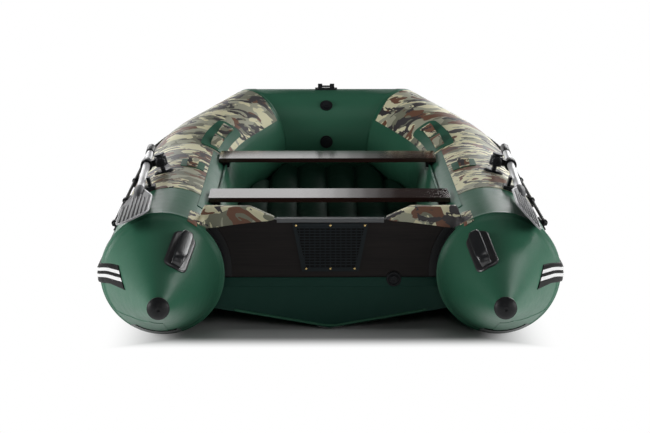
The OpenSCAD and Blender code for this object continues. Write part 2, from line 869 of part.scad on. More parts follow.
// clip beside the shaft, open outboard so that the oar swings out of it
module oar_clips() {
  color(black) both() difference() {
    oar_frame() translate([0, clip_y - lock_y, 0]) {
      translate([-shaft_d / 2 - clip_gap - 12, -18, -50]) cube([12, 36, 50 + shaft_d / 2]);
      translate([-shaft_d / 2 - clip_gap - 24, -26, -50]) cube([60, 52, 50 - shaft_d / 2 - clip_gap - 1]);
    }
    side_run(0, side_len) circle(r = tube_r + panel_t, $fn = fine);
  }
}

port_tube();
starboard_tube();
port_shoulder();
starboard_shoulder();
port_quarter();
starboard_quarter();
bow_tube();
port_cone();
starboard_cone();
cone_caps();
cone_handles();
rub_rail();
bottom_strips();
hull_bottom();
keel_strip();
floor_beams_deck();
transom();
transom_holders();
transom_trim();
motor_plate();
rear_skin();
transom_flaps();
drain_valve();
side_panels();
shoulder_panels();
carry_patches();
carry_straps();
seat_rails();
lifelines();
lifeline_eyelets();
air_valves();
bow_fairlead();
oarlocks();
oar_clips();
port_oar_shaft();
port_oar_grip();
port_oar_blade();
port_oar_swivel();
starboard_oar_shaft();
starboard_oar_grip();
starboard_oar_blade();
starboard_oar_swivel();
rear_bench();
rear_bench_hangers();
front_bench();
front_bench_hangers();
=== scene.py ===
"""Looks of an inflatable boat with a plank transom, two benches and two oars."""
import math

import bmesh
import bpy
from mathutils import Matrix, Vector


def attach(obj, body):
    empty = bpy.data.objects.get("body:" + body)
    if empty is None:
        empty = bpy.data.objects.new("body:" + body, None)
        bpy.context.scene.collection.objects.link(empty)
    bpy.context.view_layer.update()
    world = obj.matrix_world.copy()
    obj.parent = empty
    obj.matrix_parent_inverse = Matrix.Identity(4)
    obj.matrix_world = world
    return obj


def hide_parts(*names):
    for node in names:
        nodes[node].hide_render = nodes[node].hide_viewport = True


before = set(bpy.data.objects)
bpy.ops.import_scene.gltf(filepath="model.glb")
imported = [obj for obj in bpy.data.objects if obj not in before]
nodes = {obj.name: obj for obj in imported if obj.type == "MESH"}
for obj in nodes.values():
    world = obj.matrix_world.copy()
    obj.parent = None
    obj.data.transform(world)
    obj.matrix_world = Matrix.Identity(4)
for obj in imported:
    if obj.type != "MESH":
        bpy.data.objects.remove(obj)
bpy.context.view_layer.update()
scene = bpy.context.scene
scene.view_settings.view_transform = "Standard"

# ---------------------------------------------------------------- camera
PHOTO_W = 650
FOCAL_PX = 2030.0
EYE_PLACE = (-0.061, -7.848, 1.77)
EYE_PITCH, EYE_TURN = math.radians(78.78), math.radians(-0.35)
eye = bpy.data.cameras.new("photo_eye")
eye.sensor_width = 36.0
eye.lens = FOCAL_PX / PHOTO_W * eye.sensor_width
eye.clip_end = 200
camera = bpy.data.objects.new("photo_eye", eye)
camera.location = EYE_PLACE
camera.rotation_euler = (EYE_PITCH, 0, EYE_TURN)
scene.collection.objects.link(camera)
scene.camera = camera

# ---------------------------------------------------------------- sizes of the hull, metres
TUBE_R, TUBE_X, TUBE_Z = 0.21, 0.58, 0.215
SIDE_LEN, BOW_RISE = 1.53, math.radians(8.2)
BEND_R, BEND_A, QUARTER_LEN = 1.084, math.radians(24.5), 0.40
CONE_LEN, CONE_IN, CONE_END_R = 0.5, math.radians(2.6), 0.034
RAIL_T, CAP_DEPTH = 0.016, 0.026
BEND_X = TUBE_X - BEND_R * (1 - math.cos(BEND_A))
BEND_V = BEND_R * math.sin(BEND_A)
BOW_X = BEND_X - QUARTER_LEN * math.sin(BEND_A)
BOW_V = BEND_V + QUARTER_LEN * math.cos(BEND_A)
AFT_REACH = CONE_LEN * math.cos(CONE_IN) + CAP_DEPTH
FORE_REACH = SIDE_LEN + BOW_V * math.cos(BOW_RISE) + TUBE_R + RAIL_T
SEAM_Y = (AFT_REACH - FORE_REACH) / 2
KINK_Y = SEAM_Y + SIDE_LEN
BEND_END = SIDE_LEN + BEND_R * BEND_A
BOW_SEAM = BEND_END + QUARTER_LEN
BOW_MIDDLE = BOW_SEAM + BOW_X
MITRE = 0.15
STRAIGHT_END = SIDE_LEN - 0.03
BEND_STEPS = 18
CONE_START = 0.02
CONE_TAPER = (TUBE_R - CONE_END_R) / CONE_LEN
CONE_DIR = Vector((-math.sin(CONE_IN), -math.cos(CONE_IN), 0))


# ---------------------------------------------------------------- the skin of the tubes
class Ring:
    """Cross-section of the starboard tube at a distance d from the cone seam."""

    def __init__(self, d, centre, out, up, radius=TUBE_R):
        self.d, self.radius = d, radius
        self.centre, self.out, self.up = Vector(centre), Vector(out), Vector(up)

    def point(self, angle, height):
        """Point at an angle from the top outboard, at a height off the skin."""
        reach = self.radius + height
        return self.centre + self.out * (reach * math.sin(angle)) + self.up * (reach * math.cos(angle))

    def matrix(self, grow=0.0):
        """Place of a unit circle that becomes this ring."""
        reach = self.radius + grow
        along = self.out.cross(self.up).normalized()
        m = Matrix((self.out * reach, self.up * reach, along)).transposed().to_4x4()
        m.translation = self.centre
        return m


def bow_ring(d, x, v, heading, widen=1.0, tilt=BOW_RISE):
    """Ring in the plane of the raised bow, at x across and v forward of the kink."""
    lift = Matrix.Rotation(tilt, 3, "X")
    place = Matrix.Rotation(BOW_RISE, 3, "X") @ Vector((x, v, 0))
    out = lift @ Vector((math.cos(heading), math.sin(heading), 0)) * widen
    return Ring(d, Vector((0, KINK_Y, TUBE_Z)) + place, out, lift @ Vector((0, 0, 1)))


def tube_rings():
    """Rings from the cone's end to the middle of the bow."""
    seam = Vector((TUBE_X, SEAM_Y, TUBE_Z))
    across = Vector((math.cos(CONE_IN), -math.sin(CONE_IN), 0))
    up = Vector((0, 0, 1))
    rings = [Ring(-CONE_LEN, seam + CONE_DIR * CONE_LEN, across, up, CONE_END_R)]
    rings += [Ring(-CONE_START, seam + CONE_DIR * CONE_START, across, up, TUBE_R - CONE_START * CONE_TAPER)]
    rings += [Ring(d, (TUBE_X, SEAM_Y + d, TUBE_Z), (1, 0, 0), up) for d in (0.0, STRAIGHT_END)]
    rings.append(bow_ring(SIDE_LEN, TUBE_X, 0, 0, tilt=BOW_RISE / 2))
    for i in range(1, BEND_STEPS + 1):
        a = BEND_A * i / BEND_STEPS
        rings.append(bow_ring(SIDE_LEN + BEND_R * a, TUBE_X - BEND_R * (1 - math.cos(a)), BEND_R * math.sin(a), a))
    back = QUARTER_LEN - MITRE
    rings.append(bow_ring(BOW_SEAM - MITRE, BEND_X - back * math.sin(BEND_A), BEND_V + back * math.cos(BEND_A), BEND_A))
    half = (math.pi / 2 - BEND_A) / 2
    rings.append(bow_ring(BOW_SEAM, BOW_X, BOW_V, BEND_A + half, 1 / math.cos(half)))
    rings.append(bow_ring(BOW_SEAM + MITRE, BOW_X - MITRE, BOW_V, math.pi / 2))
    rings.append(bow_ring(BOW_MIDDLE, 0, BOW_V, math.pi / 2))
    return rings


RINGS = tube_rings()


def ring_at(d):
    """Ring at any distance, between the two nearest ones."""
    for a, b in zip(RINGS, RINGS[1:]):
        if d <= b.d or b is RINGS[-1]:
            t = (d - a.d) / (b.d - a.d)
            return Ring(d, a.centre.lerp(b.centre, t), a.out.lerp(b.out, t), a.up.lerp(b.up, t),
                        a.radius + (b.radius - a.radius) * t)


def skin_point(d, angle, height=0.0):
    """Point on the starboard skin: d from the cone seam, angle from the top outboard."""
    return ring_at(d).point(angle, height)


def arc(degrees):
    """Length around the tube's skin."""
    return math.radians(degrees) * TUBE_R


def wrap(bm):
    """Lays a flat piece on the starboard skin: x along the tube, y around it, z off the skin."""
    for v in bm.verts:
        v.co = skin_point(v.co.x, v.co.y / TUBE_R, v.co.z)


# ---------------------------------------------------------------- making pieces
def add_piece(bm, name, materials, body="hull", port=False, sharp=40):
    """Turns a bmesh into a piece that rides on a body; port mirrors it."""
    if port:
        bmesh.ops.scale(bm, vec=(-1, 1, 1), verts=bm.verts)
        bmesh.ops.reverse_faces(bm, faces=bm.faces)
    mesh = bpy.data.meshes.new(name)
    bm.to_mesh(mesh)
    bm.free()
    for m in materials:
        mesh.materials.append(m)
    mesh.shade_smooth()
    mesh.set_sharp_from_angle(angle=math.radians(sharp))
    piece = bpy.data.objects.new(name, mesh)
    scene.collection.objects.link(piece)
    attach(piece, body)
    return piece


SIDES = (("starboard", False), ("port", True))


def outward(bm):
    """Closes doubled seams and turns the faces outwards."""
    bmesh.ops.remove_doubles(bm, verts=bm.verts, dist=1e-6)
    bmesh.ops.recalc_face_normals(bm, faces=bm.faces)


def cut_across(bm, axis, low, high, step):
    """Cuts a flat piece at even steps, so that it can bend."""
    normal = Vector((axis == 0, axis == 1, axis == 2))
    count = max(1, round((high - low) / step))
    for i in range(1, count):
        geom = bm.verts[:] + bm.edges[:] + bm.faces[:]
        bmesh.ops.bisect_plane(bm, geom=geom, plane_co=normal * (low + (high - low) * i / count), plane_no=normal)


def thicken(bm, low, high):
    """Gives a flat piece its thickness, from low to high off the skin."""
    bmesh.ops.translate(bm, vec=(0, 0, low), verts=bm.verts)
    raised = bmesh.ops.extrude_face_region(bm, geom=bm.faces[:])["geom"]
    bmesh.ops.translate(bm, vec=(0, 0, high - low), verts=[g for g in raised if isinstance(g, bmesh.types.BMVert)])
    bmesh.ops.recalc_face_normals(bm, faces=bm.faces)


def flat_piece(outline, step, low, high, corner=0.0):
    """Flat cut piece with its thickness, in small faces that can bend."""
    bm = bmesh.new()
    corners = [bm.verts.new((x, y, 0)) for x, y in outline]
    bm.faces.new(corners)
    if corner:
        bmesh.ops.bevel(bm, geom=corners, offset=corner, affect="VERTICES", segments=5, profile=0.5, material=-1)
    xs, ys = [p[0] for p in outline], [p[1] for p in outline]
    cut_across(bm, 0, min(xs), max(xs), step)
    cut_across(bm, 1, min(ys), max(ys), step)
    thicken(bm, low, high)
    return bm


def loft(bm, first, places):
    """Extrudes a drawn line through places, each a matrix from the drawing; returns the faces of each stretch."""
    edges = list({e for v in first for e in v.link_edges})
    bmesh.ops.transform(bm, matrix=places[0], verts=first)
    stretches = []
    for before, after in zip(places, places[1:]):
        new = bmesh.ops.extrude_edge_only(bm, edges=edges)["geom"]
        verts = [g for g in new if isinstance(g, bmesh.types.BMVert)]
        moving = set(verts)
        edges = [g for g in new if isinstance(g, bmesh.types.BMEdge) and g.verts[0] in moving and g.verts[1] in moving]
        stretches.append([g for g in new if isinstance(g, bmesh.types.BMFace)])
        bmesh.ops.transform(bm, matrix=after @ before.inverted(), verts=verts)
    return stretches


def close_ends(bm):
    """Fills open ends and turns the faces outwards."""
    open_edges = [e for e in bm.edges if e.is_boundary]
    if open_edges:
        bmesh.ops.holes_fill(bm, edges=open_edges, sides=0)
    bmesh.ops.recalc_face_normals(bm, faces=bm.faces)


def drawn_ring(bm, points):
    """Closed outline drawn flat."""
    verts = [bm.verts.new((x, y, 0)) for x, y in points]
    for a, b in zip(verts, verts[1:] + verts[:1]):
        bm.edges.new((a, b))
    return verts


def rounded_box(size, round_off, segments=3):
    """Box about the origin with rounded edges."""
    bm = bmesh.new()
    bmesh.ops.create_cube(bm, size=1.0)
    bmesh.ops.scale(bm, vec=size, verts=bm.verts)
    bmesh.ops.bevel(bm, geom=bm.edges[:], offset=round_off, affect="EDGES", segments=segments, profile=0.5, material=-1)
    return bm


def turned(profile, steps=48):
    """Solid of revolution about z, from points (radius, height)."""
    bm = bmesh.new()
    line = [bm.verts.new((r, 0, z)) for r, z in profile]
    edges = [bm.edges.new(pair) for pair in zip(line, line[1:])]
    bmesh.ops.spin(bm, geom=line + edges, axis=(0, 0, 1), cent=(0, 0, 0), angle=2 * math.pi, steps=steps,
                   use_merge=True)
    outward(bm)
    return bm


def append(bm, other, matrix=Matrix.Identity(4), material=None):
    """Adds another bmesh, at a place, with one of the piece's materials."""
    if material is not None:
        for f in other.faces:
            f.material_index = material
    other.transform(matrix)
    if matrix.determinant() < 0:
        bmesh.ops.reverse_faces(other, faces=other.faces)
    carried = bpy.data.meshes.new("carried")
    other.to_mesh(carried)
    other.free()
    bm.from_mesh(carried)
    bpy.data.meshes.remove(carried)


# ---------------------------------------------------------------- shader building
def add_node(tree, kind, ins=None, **settings):
    """Shader node with its settings; an input is a value or another node's output."""
    made = tree.nodes.new(kind)
    for key, value in settings.items():
        setattr(made, key, value)
    for key, value in (ins or {}).items():
        if isinstance(value, bpy.types.NodeSocket):
            tree.links.new(value, made.inputs[key])
        else:
            made.inputs[key].default_value = value
    return made


def ramp(tree, source, stops, interpolation="LINEAR"):
    """Colours between stops, each a place and a colour."""
    made = add_node(tree, "ShaderNodeValToRGB", {0: source})
    made.color_ramp.interpolation = interpolation
    bands = made.color_ramp.elements
    while len(bands) < len(stops):
        bands.new(0.5)
    for band, (at, colour) in zip(bands, stops):
        band.position = at
        band.color = colour if len(colour) == 4 else (*colour, 1)
    return made.outputs[0]


def effect_group(name, ins, outs):
    """New shader group with its named inputs and outputs."""
    tree = bpy.data.node_groups.new(name, "ShaderNodeTree")
    for label, kind, value in ins:
        socket = tree.interface.new_socket(label, in_out="INPUT", socket_type=kind)
        socket.default_value = value
    for label, kind in outs:
        tree.interface.new_socket(label, in_out="OUTPUT", socket_type=kind)
    return tree, tree.nodes.new("NodeGroupInput").outputs, tree.nodes.new("NodeGroupOutput")


FLOAT, COLOUR = "NodeSocketFloat", "NodeSocketColor"


def maths(tree, operation, a, b=0.0):
    """One step of arithmetic on values."""
    return add_node(tree, "ShaderNodeMath", {0: a, 1: b}, operation=operation).outputs[0]


def blend_colour(tree, factor, a, b, mode="MIX"):
    """Colour between a and b."""
    made = add_node(tree, "ShaderNodeMix", data_type="RGBA", blend_type=mode)
    for index, value in ((0, factor), (6, a), (7, b)):
        if isinstance(value, bpy.types.NodeSocket):
            tree.links.new(value, made.inputs[index])
        else:
            made.inputs[index].default_value = value
    return made.outputs[2]


def fade(tree, source, low, high):
    """Mask that rises smoothly from 0 at low to 1 at high."""
    ins = {"Value": source, "From Min": low, "From Max": high}
    return add_node(tree, "ShaderNodeMapRange", ins, interpolation_type="SMOOTHSTEP").outputs[0]


def object_place(tree, scale=(1, 1, 1)):
    """Place on the object, in metres, scaled."""
    where = add_node(tree, "ShaderNodeTexCoord").outputs["Object"]
    return add_node(tree, "ShaderNodeMapping", {"Vector": where, "Scale": scale}).outputs[0]


def cloud(tree, place, scale, detail=2.0, rough=0.5, warp=0.0):
    """Soft noise."""
    ins = {"Vector": place, "Scale": scale, "Detail": detail, "Roughness": rough, "Distortion": warp}
    return add_node(tree, "ShaderNodeTexNoise", ins).outputs[0]


def coated_cloth_group():
    """Coated boat fabric: cloudy colour, fine cloth grain and soft unevenness."""
    ins = [("Tone", COLOUR, (0, 0, 0, 1)), ("Mottle", FLOAT, 0.1), ("Grain", FLOAT, 900.0)]
    tree, given, result = effect_group("coated_cloth", ins, [("Color", COLOUR), ("Rough", FLOAT), ("Height", FLOAT)])
    place = object_place(tree)
    patches = cloud(tree, place, 3.0, 4.0, 0.6)
    grain = cloud(tree, place, given["Grain"], 2.0)
    uneven = cloud(tree, place, 26.0, 3.0, 0.55)
    dark = blend_colour(tree, 1.0, given["Tone"], (0.72, 0.74, 0.76, 1), "MULTIPLY")
    light = blend_colour(tree, 1.0, given["Tone"], (1.25, 1.2, 1.22, 1), "MULTIPLY")
    spread = maths(tree, "ADD", maths(tree, "MULTIPLY", maths(tree, "SUBTRACT", patches, 0.5), given["Mottle"]), 0.5)
    tone = blend_colour(tree, spread, dark, light)
    tree.links.new(blend_colour(tree, maths(tree, "MULTIPLY", grain, 0.22), tone, dark), result.inputs["Color"])
    tree.links.new(maths(tree, "ADD", maths(tree, "MULTIPLY", uneven, 0.16), 0.36), result.inputs["Rough"])
    height = maths(tree, "ADD", maths(tree, "MULTIPLY", grain, 0.3), maths(tree, "MULTIPLY", uneven, 1.0))
    tree.links.new(height, result.inputs["Height"])
    return tree


def camouflage_group():
    """Woodland print: khaki ground, cream and brown blots, dark branching marks."""
    tree, given, result = effect_group("camouflage", [("Size", FLOAT, 12.0)], [("Color", COLOUR), ("Height", FLOAT)])
    place = object_place(tree, (1.0, 1.4, 1.0))
    shift = [add_node(tree, "ShaderNodeVectorMath", {0: place, 1: offset}).outputs[0]
             for offset in ((0, 0, 0), (3.7, 1.9, 5.1), (8.3, 4.4, 2.6), (1.4, 9.2, 7.7))]
    blots = [cloud(tree, shift[i], given["Size"], 2.5, 0.55, warp) for i, warp in ((0, 0.7), (1, 0.9), (3, 0.7))]
    fork = cloud(tree, shift[2], maths(tree, "MULTIPLY", given["Size"], 1.2), 3.0, 0.6, 1.3)
    coats = ((blots[2], 0.50, (0.24, 0.245, 0.175, 1)), (blots[0], 0.515, (0.88, 0.84, 0.57, 1)),
             (blots[1], 0.56, (0.20, 0.088, 0.05, 1)), (fork, 0.565, (0.05, 0.045, 0.05, 1)))
    tone = (0.47, 0.47, 0.35, 1)
    for source, edge, colour in coats:
        tone = blend_colour(tree, ramp(tree, source, [(0.0, (0, 0, 0)), (edge, (1, 1, 1))], "CONSTANT"), tone, colour)
    grain = cloud(tree, object_place(tree), 1100.0, 2.0)
    worn = blend_colour(tree, maths(tree, "MULTIPLY", grain, 0.14), tone, (0.12, 0.11, 0.09, 1))
    tree.links.new(worn, result.inputs["Color"])
    tree.links.new(grain, result.inputs["Height"])
    return tree


def moulding_group():
    """Moulded plastic or rubber: fine pebble grain and a few rubbed spots."""
    ins = [("Tone", COLOUR, (0, 0, 0, 1)), ("Rubbed", COLOUR, (0.1, 0.1, 0.1, 1)), ("Polish", FLOAT, 0.4)]
    tree, given, result = effect_group("moulding", ins, [("Color", COLOUR), ("Rough", FLOAT), ("Height", FLOAT)])
    place = object_place(tree)
    pebble = cloud(tree, place, 1400.0, 2.0)
    rub = ramp(tree, cloud(tree, place, 40.0, 5.0, 0.65), [(0.58, (0, 0, 0)), (0.78, (1, 1, 1))])
    tree.links.new(blend_colour(tree, maths(tree, "MULTIPLY", rub, 0.5), given["Tone"], given["Rubbed"]),
                   result.inputs["Color"])
    tree.links.new(maths(tree, "ADD", given["Polish"], maths(tree, "MULTIPLY", rub, 0.18)), result.inputs["Rough"])
    tree.links.new(pebble, result.inputs["Height"])
    return tree


def veneer_group():
    """Plywood veneer with grain along x."""
    ins = [("Light", COLOUR, (0, 0, 0, 1)), ("Dark", COLOUR, (0, 0, 0, 1)), ("Figure", FLOAT, 9.0)]
    tree, given, result = effect_group("veneer", ins, [("Color", COLOUR), ("Height", FLOAT)])
    place = object_place(tree, (0.06, 1.0, 1.0))
    broad = cloud(tree, place, given["Figure"], 5.0, 0.6, 1.2)
    pores = cloud(tree, object_place(tree, (0.02, 1.0, 1.0)), 420.0, 2.0)
    mix = maths(tree, "ADD", maths(tree, "MULTIPLY", broad, 0.7), maths(tree, "MULTIPLY", pores, 0.3))
    stretch = ramp(tree, mix, [(0.36, (0, 0, 0)), (0.64, (1, 1, 1))])
    tree.links.new(blend_colour(tree, stretch, given["Dark"], given["Light"]), result.inputs["Color"])
    tree.links.new(pores, result.inputs["Height"])
    return tree


CLOTH, CAMO, MOULD, VENEER = coated_cloth_group(), camouflage_group(), moulding_group(), veneer_group()


def material(name, group, ins, bump=0.0, bump_depth=0.001, **plain):
    """Material whose surface comes from one effect group; plain values go on the shader's own sockets."""
    made = bpy.data.materials.new(name)
    made.use_nodes = True
    tree = made.node_tree
    shader = tree.nodes["Principled BSDF"]
    for label, value in plain.items():
        shader.inputs[label.replace("_", " ")].default_value = value
    effect = add_node(tree, "ShaderNodeGroup", node_tree=group)
    for label, value in ins.items():
        effect.inputs[label].default_value = value
    tree.links.new(effect.outputs["Color"], shader.inputs["Base Color"])
    if "Rough" in effect.outputs:
        tree.links.new(effect.outputs["Rough"], shader.inputs["Roughness"])
    if bump:
        relief = {"Strength": bump, "Distance": bump_depth, "Height": effect.outputs["Height"]}
        dent = add_node(tree, "ShaderNodeBump", relief)
        tree.links.new(dent.outputs[0], shader.inputs["Normal"])
    return made


def cloth(name, tone, mottle=0.5, **plain):
    """Coated fabric in a tone."""
    return material(name, CLOTH, {"Tone": (*tone, 1), "Mottle": mottle}, 0.35, 0.0012, **plain)


def moulded(name, tone, rubbed, polish, bump=0.25, **plain):
    """Moulded plastic, rubber or bright metal in a tone."""
    return material(name, MOULD, {"Tone": (*tone, 1), "Rubbed": (*rubbed, 1), "Polish": polish}, bump, 0.0004, **plain)


TUBE_GREEN = (0.036, 0.144, 0.084)
tube_pvc = cloth("tube_pvc", TUBE_GREEN, Specular_IOR_Level=0.22)
tape_pvc = cloth("tape_pvc", (0.037, 0.143, 0.084), Specular_IOR_Level=0.24)
# the deck's cloth is coloured very dark: partly its own colour, partly painted shade for the boat's dim interior
deck_pvc_painted_shade = cloth("deck_pvc_painted_shade", (0.007, 0.026, 0.016), 0.7, Specular_IOR_Level=0.15)
bottom_pvc = cloth("bottom_pvc", (0.014, 0.058, 0.042), 0.6, Specular_IOR_Level=0.1)
patch_pvc = cloth("patch_pvc", (0.036, 0.138, 0.084), Specular_IOR_Level=0.07)
camo_print = material("camo_print", CAMO, {"Size": 6.6}, 0.2, 0.0006, Roughness=0.55, Specular_IOR_Level=0.3)
camo_flap = material("camo_flap", CAMO, {"Size": 9.0}, 0.2, 0.0006, Roughness=0.6)
camo_web = material("camo_web", CAMO, {"Size": 9.0}, 0.6, 0.0012, Roughness=0.7)
black_rubber = moulded("black_rubber", (0.009, 0.010, 0.011), (0.03, 0.03, 0.032), 0.45, Specular_IOR_Level=0.2)
pad_rubber = moulded("pad_rubber", (0.026, 0.025, 0.028), (0.05, 0.05, 0.052), 0.34, Specular_IOR_Level=0.8)
gloss_rubber = moulded("gloss_rubber", (0.014, 0.015, 0.017), (0.04, 0.042, 0.045), 0.30, 0.06, Specular_IOR_Level=0.8)
black_plastic = moulded("black_plastic", (0.010, 0.011, 0.013), (0.035, 0.037, 0.04), 0.44, Specular_IOR_Level=0.16)
cap_rubber = moulded("cap_rubber", (0.015, 0.016, 0.017), (0.045, 0.046, 0.048), 0.4, Specular_IOR_Level=0.18)
plate_plastic = moulded("plate_plastic", (0.018, 0.023, 0.026), (0.028, 0.034, 0.037), 0.45, Specular_IOR_Level=0.1)
rail_rubber = moulded("rail_rubber", (0.007, 0.007, 0.007), (0.016, 0.016, 0.016), 0.5, Specular_IOR_Level=0.06)
rail_white = moulded("rail_white", (0.80, 0.80, 0.80), (0.62, 0.62, 0.62), 0.45)
strip_rubber = moulded("strip_rubber", (0.13, 0.135, 0.135), (0.24, 0.245, 0.245), 0.6, 0.5)
trim_grey = moulded("trim_grey", (0.09, 0.095, 0.10), (0.2, 0.2, 0.21), 0.35)
rope_black = moulded("rope_black", (0.012, 0.012, 0.013), (0.06, 0.06, 0.06), 0.7)
blade_grey = moulded("blade_grey", (0.085, 0.087, 0.091), (0.17, 0.17, 0.175), 0.5, Specular_IOR_Level=0.15)
blade_edge = moulded("blade_edge", (0.40, 0.40, 0.41), (0.52, 0.52, 0.53), 0.4, Specular_IOR_Level=0.2)
alloy = moulded("alloy", (0.60, 0.60, 0.61), (0.50, 0.50, 0.51), 0.4, 0.1, Metallic=0.2, Specular_IOR_Level=0.3)
brass = moulded("brass", (0.62, 0.45, 0.2), (0.4, 0.28, 0.12), 0.25, 0.1, Metallic=1.0)
transom_ply = material("transom_ply", VENEER, {"Light": (0.026, 0.021, 0.019, 1), "Dark": (0.012, 0.010, 0.010, 1)},
                       0.12, 0.0005, Roughness=0.5, Specular_IOR_Level=0.12)
bench_lacquer = material("bench_lacquer", VENEER, {"Light": (0.050, 0.022, 0.016, 1), "Dark": (0.022, 0.010, 0.009, 1)},
                         0.02, 0.0002, Roughness=0.12, Coat_Weight=0.6, Coat_Roughness=0.09)


def dress(node, finish):
    """Gives a CAD node its material."""
    slots = nodes[node].data.materials
    slots.clear()
    slots.append(finish)


FINISHES = {
    cap_rubber: ("cone_caps",),
    black_rubber: ("lifeline_eyelets", "transom_holders", "oar_clips", "port_oar_grip", "starboard_oar_grip"),
    black_plastic: ("oarlocks", "air_valves", "bow_fairlead", "drain_valve", "port_oar_swivel", "starboard_oar_swivel",
                    "rear_bench_hangers", "front_bench_hangers"),
    strip_rubber: ("bottom_strips", "keel_strip"),
    bottom_pvc: ("hull_bottom", "rear_skin"),
    patch_pvc: ("seat_rails",),
    transom_ply: ("transom",),
    trim_grey: ("transom_trim",),
    plate_plastic: ("motor_plate",),
    bench_lacquer: ("rear_bench", "front_bench"),
    alloy: ("port_oar_shaft", "starboard_oar_shaft"),
}
for finish, members in FINISHES.items():
    for member in members:
        dress(member, finish)


# ---------------------------------------------------------------- tubes and cones
TUBE_SEGMENTS = 128
TAPE_T, TAPE_HALF, TAPE_EDGE = 0.0014, 0.022, 0.0012
SEAM_ROLL, ROLL_HALF = 0.0035, 0.004
ROLL_STATIONS = [0.0, 0.0015, 0.003, 0.0045, 0.007]


def spaced(low, high, step):
    """Even stations from low to high, about a step apart."""
    count = max(1, round((high - low) / step))
    return [low + (high - low) * i / count for i in range(count + 1)]


def both_halves(bm):
    """Mirrors the starboard half to port."""
    bmesh.ops.mirror(bm, geom=bm.verts[:] + bm.edges[:] + bm.faces[:], axis="X", merge_dist=1e-5)


def tube_skin(name, stations, taped, replaced, port=False, across_bow=False):
    """Inflated skin through stations; taped gives the stretches covered by seam tape."""
    bm = bmesh.new()
    bmesh.ops.create_circle(bm, segments=TUBE_SEGMENTS, radius=1.0)
    places, marks = [], []
    for d in stations:
        marks.append(any(low <= d <= high for low, high in taped))
        roll = SEAM_ROLL * max(0.0, 1 - (d / ROLL_HALF) ** 2)
        places.append(ring_at(d).matrix((TAPE_T if marks[-1] else 0.0) + roll))
    for faces, a, b in zip(loft(bm, bm.verts[:], places), marks, marks[1:]):
        for f in faces:
            f.material_index = int(a or b)
    if across_bow:
        both_halves(bm)
    close_ends(bm)
    outward(bm)
    piece = add_piece(bm, name, [tube_pvc, tape_pvc], port=port, sharp=60)
    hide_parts(*replaced)


side_stations = (ROLL_STATIONS + [TAPE_HALF, TAPE_HALF + TAPE_EDGE] + spaced(0.05, STRAIGHT_END, 0.04) + [SIDE_LEN]
                 + spaced(SIDE_LEN + 0.03, BEND_END, 0.02) + spaced(BEND_END + 0.03, BOW_SEAM - MITRE, 0.04)
                 + [BOW_SEAM - TAPE_HALF - TAPE_EDGE, BOW_SEAM - TAPE_HALF, BOW_SEAM])
bow_stations = ([BOW_SEAM, BOW_SEAM + TAPE_HALF, BOW_SEAM + TAPE_HALF + TAPE_EDGE]
                + spaced(BOW_SEAM + MITRE, BOW_MIDDLE, 0.03))
cone_stations = ([-CONE_LEN] + spaced(-CONE_LEN + 0.02, -0.05, 0.03) + [-TAPE_HALF - TAPE_EDGE, -TAPE_HALF]
                 + [-d for d in reversed(ROLL_STATIONS)])
for side, port in SIDES:
    tube_skin(side + "_tube_skin", side_stations, [(0.0, TAPE_HALF), (BOW_SEAM - TAPE_HALF, BOW_SEAM)],
              [side + "_tube", side + "_shoulder", side + "_quarter"], port)
    tube_skin(side + "_cone_skin", cone_stations, [(-TAPE_HALF, 0.0)], [side + "_cone"], port)
tube_skin("bow_tube_skin", bow_stations, [(BOW_SEAM, BOW_SEAM + TAPE_HALF)], ["bow_tube"], across_bow=True)

# ---------------------------------------------------------------- rub rail
RAIL_MID, RAIL_W, RAIL_CLIMB = math.radians(89), 0.068, math.radians(72)
RAIL_TAIL, RAIL_SLANT = 0.27, 1.7
RAIL_END_T, RAIL_END_RELIEF = 0.0025, 0.12
# half-round ribs and two flat stripes across the rail, as (across, height) points from the top down
RAIL_DRAWN_W = 0.086
RAIL_DRAWN = ((0.0, -0.003), (0.0, 0.004), (0.005, 0.0115), (0.012, 0.013), (0.020, 0.013), (0.021, 0.0155),
              (0.034, 0.0155), (0.035, 0.013), (0.038, 0.013), (0.0405, 0.0145), (0.043, 0.013), (0.046, 0.013),
              (0.047, 0.0155), (0.060, 0.0155), (0.061, 0.013), (0.074, 0.013), (0.081, 0.0115), (0.086, 0.004),
              (0.086, -0.003))
RAIL_STRIPES, STRIPE_LOW = ((5, 6), (12, 13)), 0.014


def on_rail(bm):
    """Lays the flat rail on the skin, its width kept, climbing along the cone."""
    for v in bm.verts:
        ring = ring_at(v.co.x)
        middle = RAIL_MID + RAIL_CLIMB * min(0.0, v.co.x)
        v.co = ring.point(middle + (v.co.y - RAIL_W / 2) / ring.radius, v.co.z)


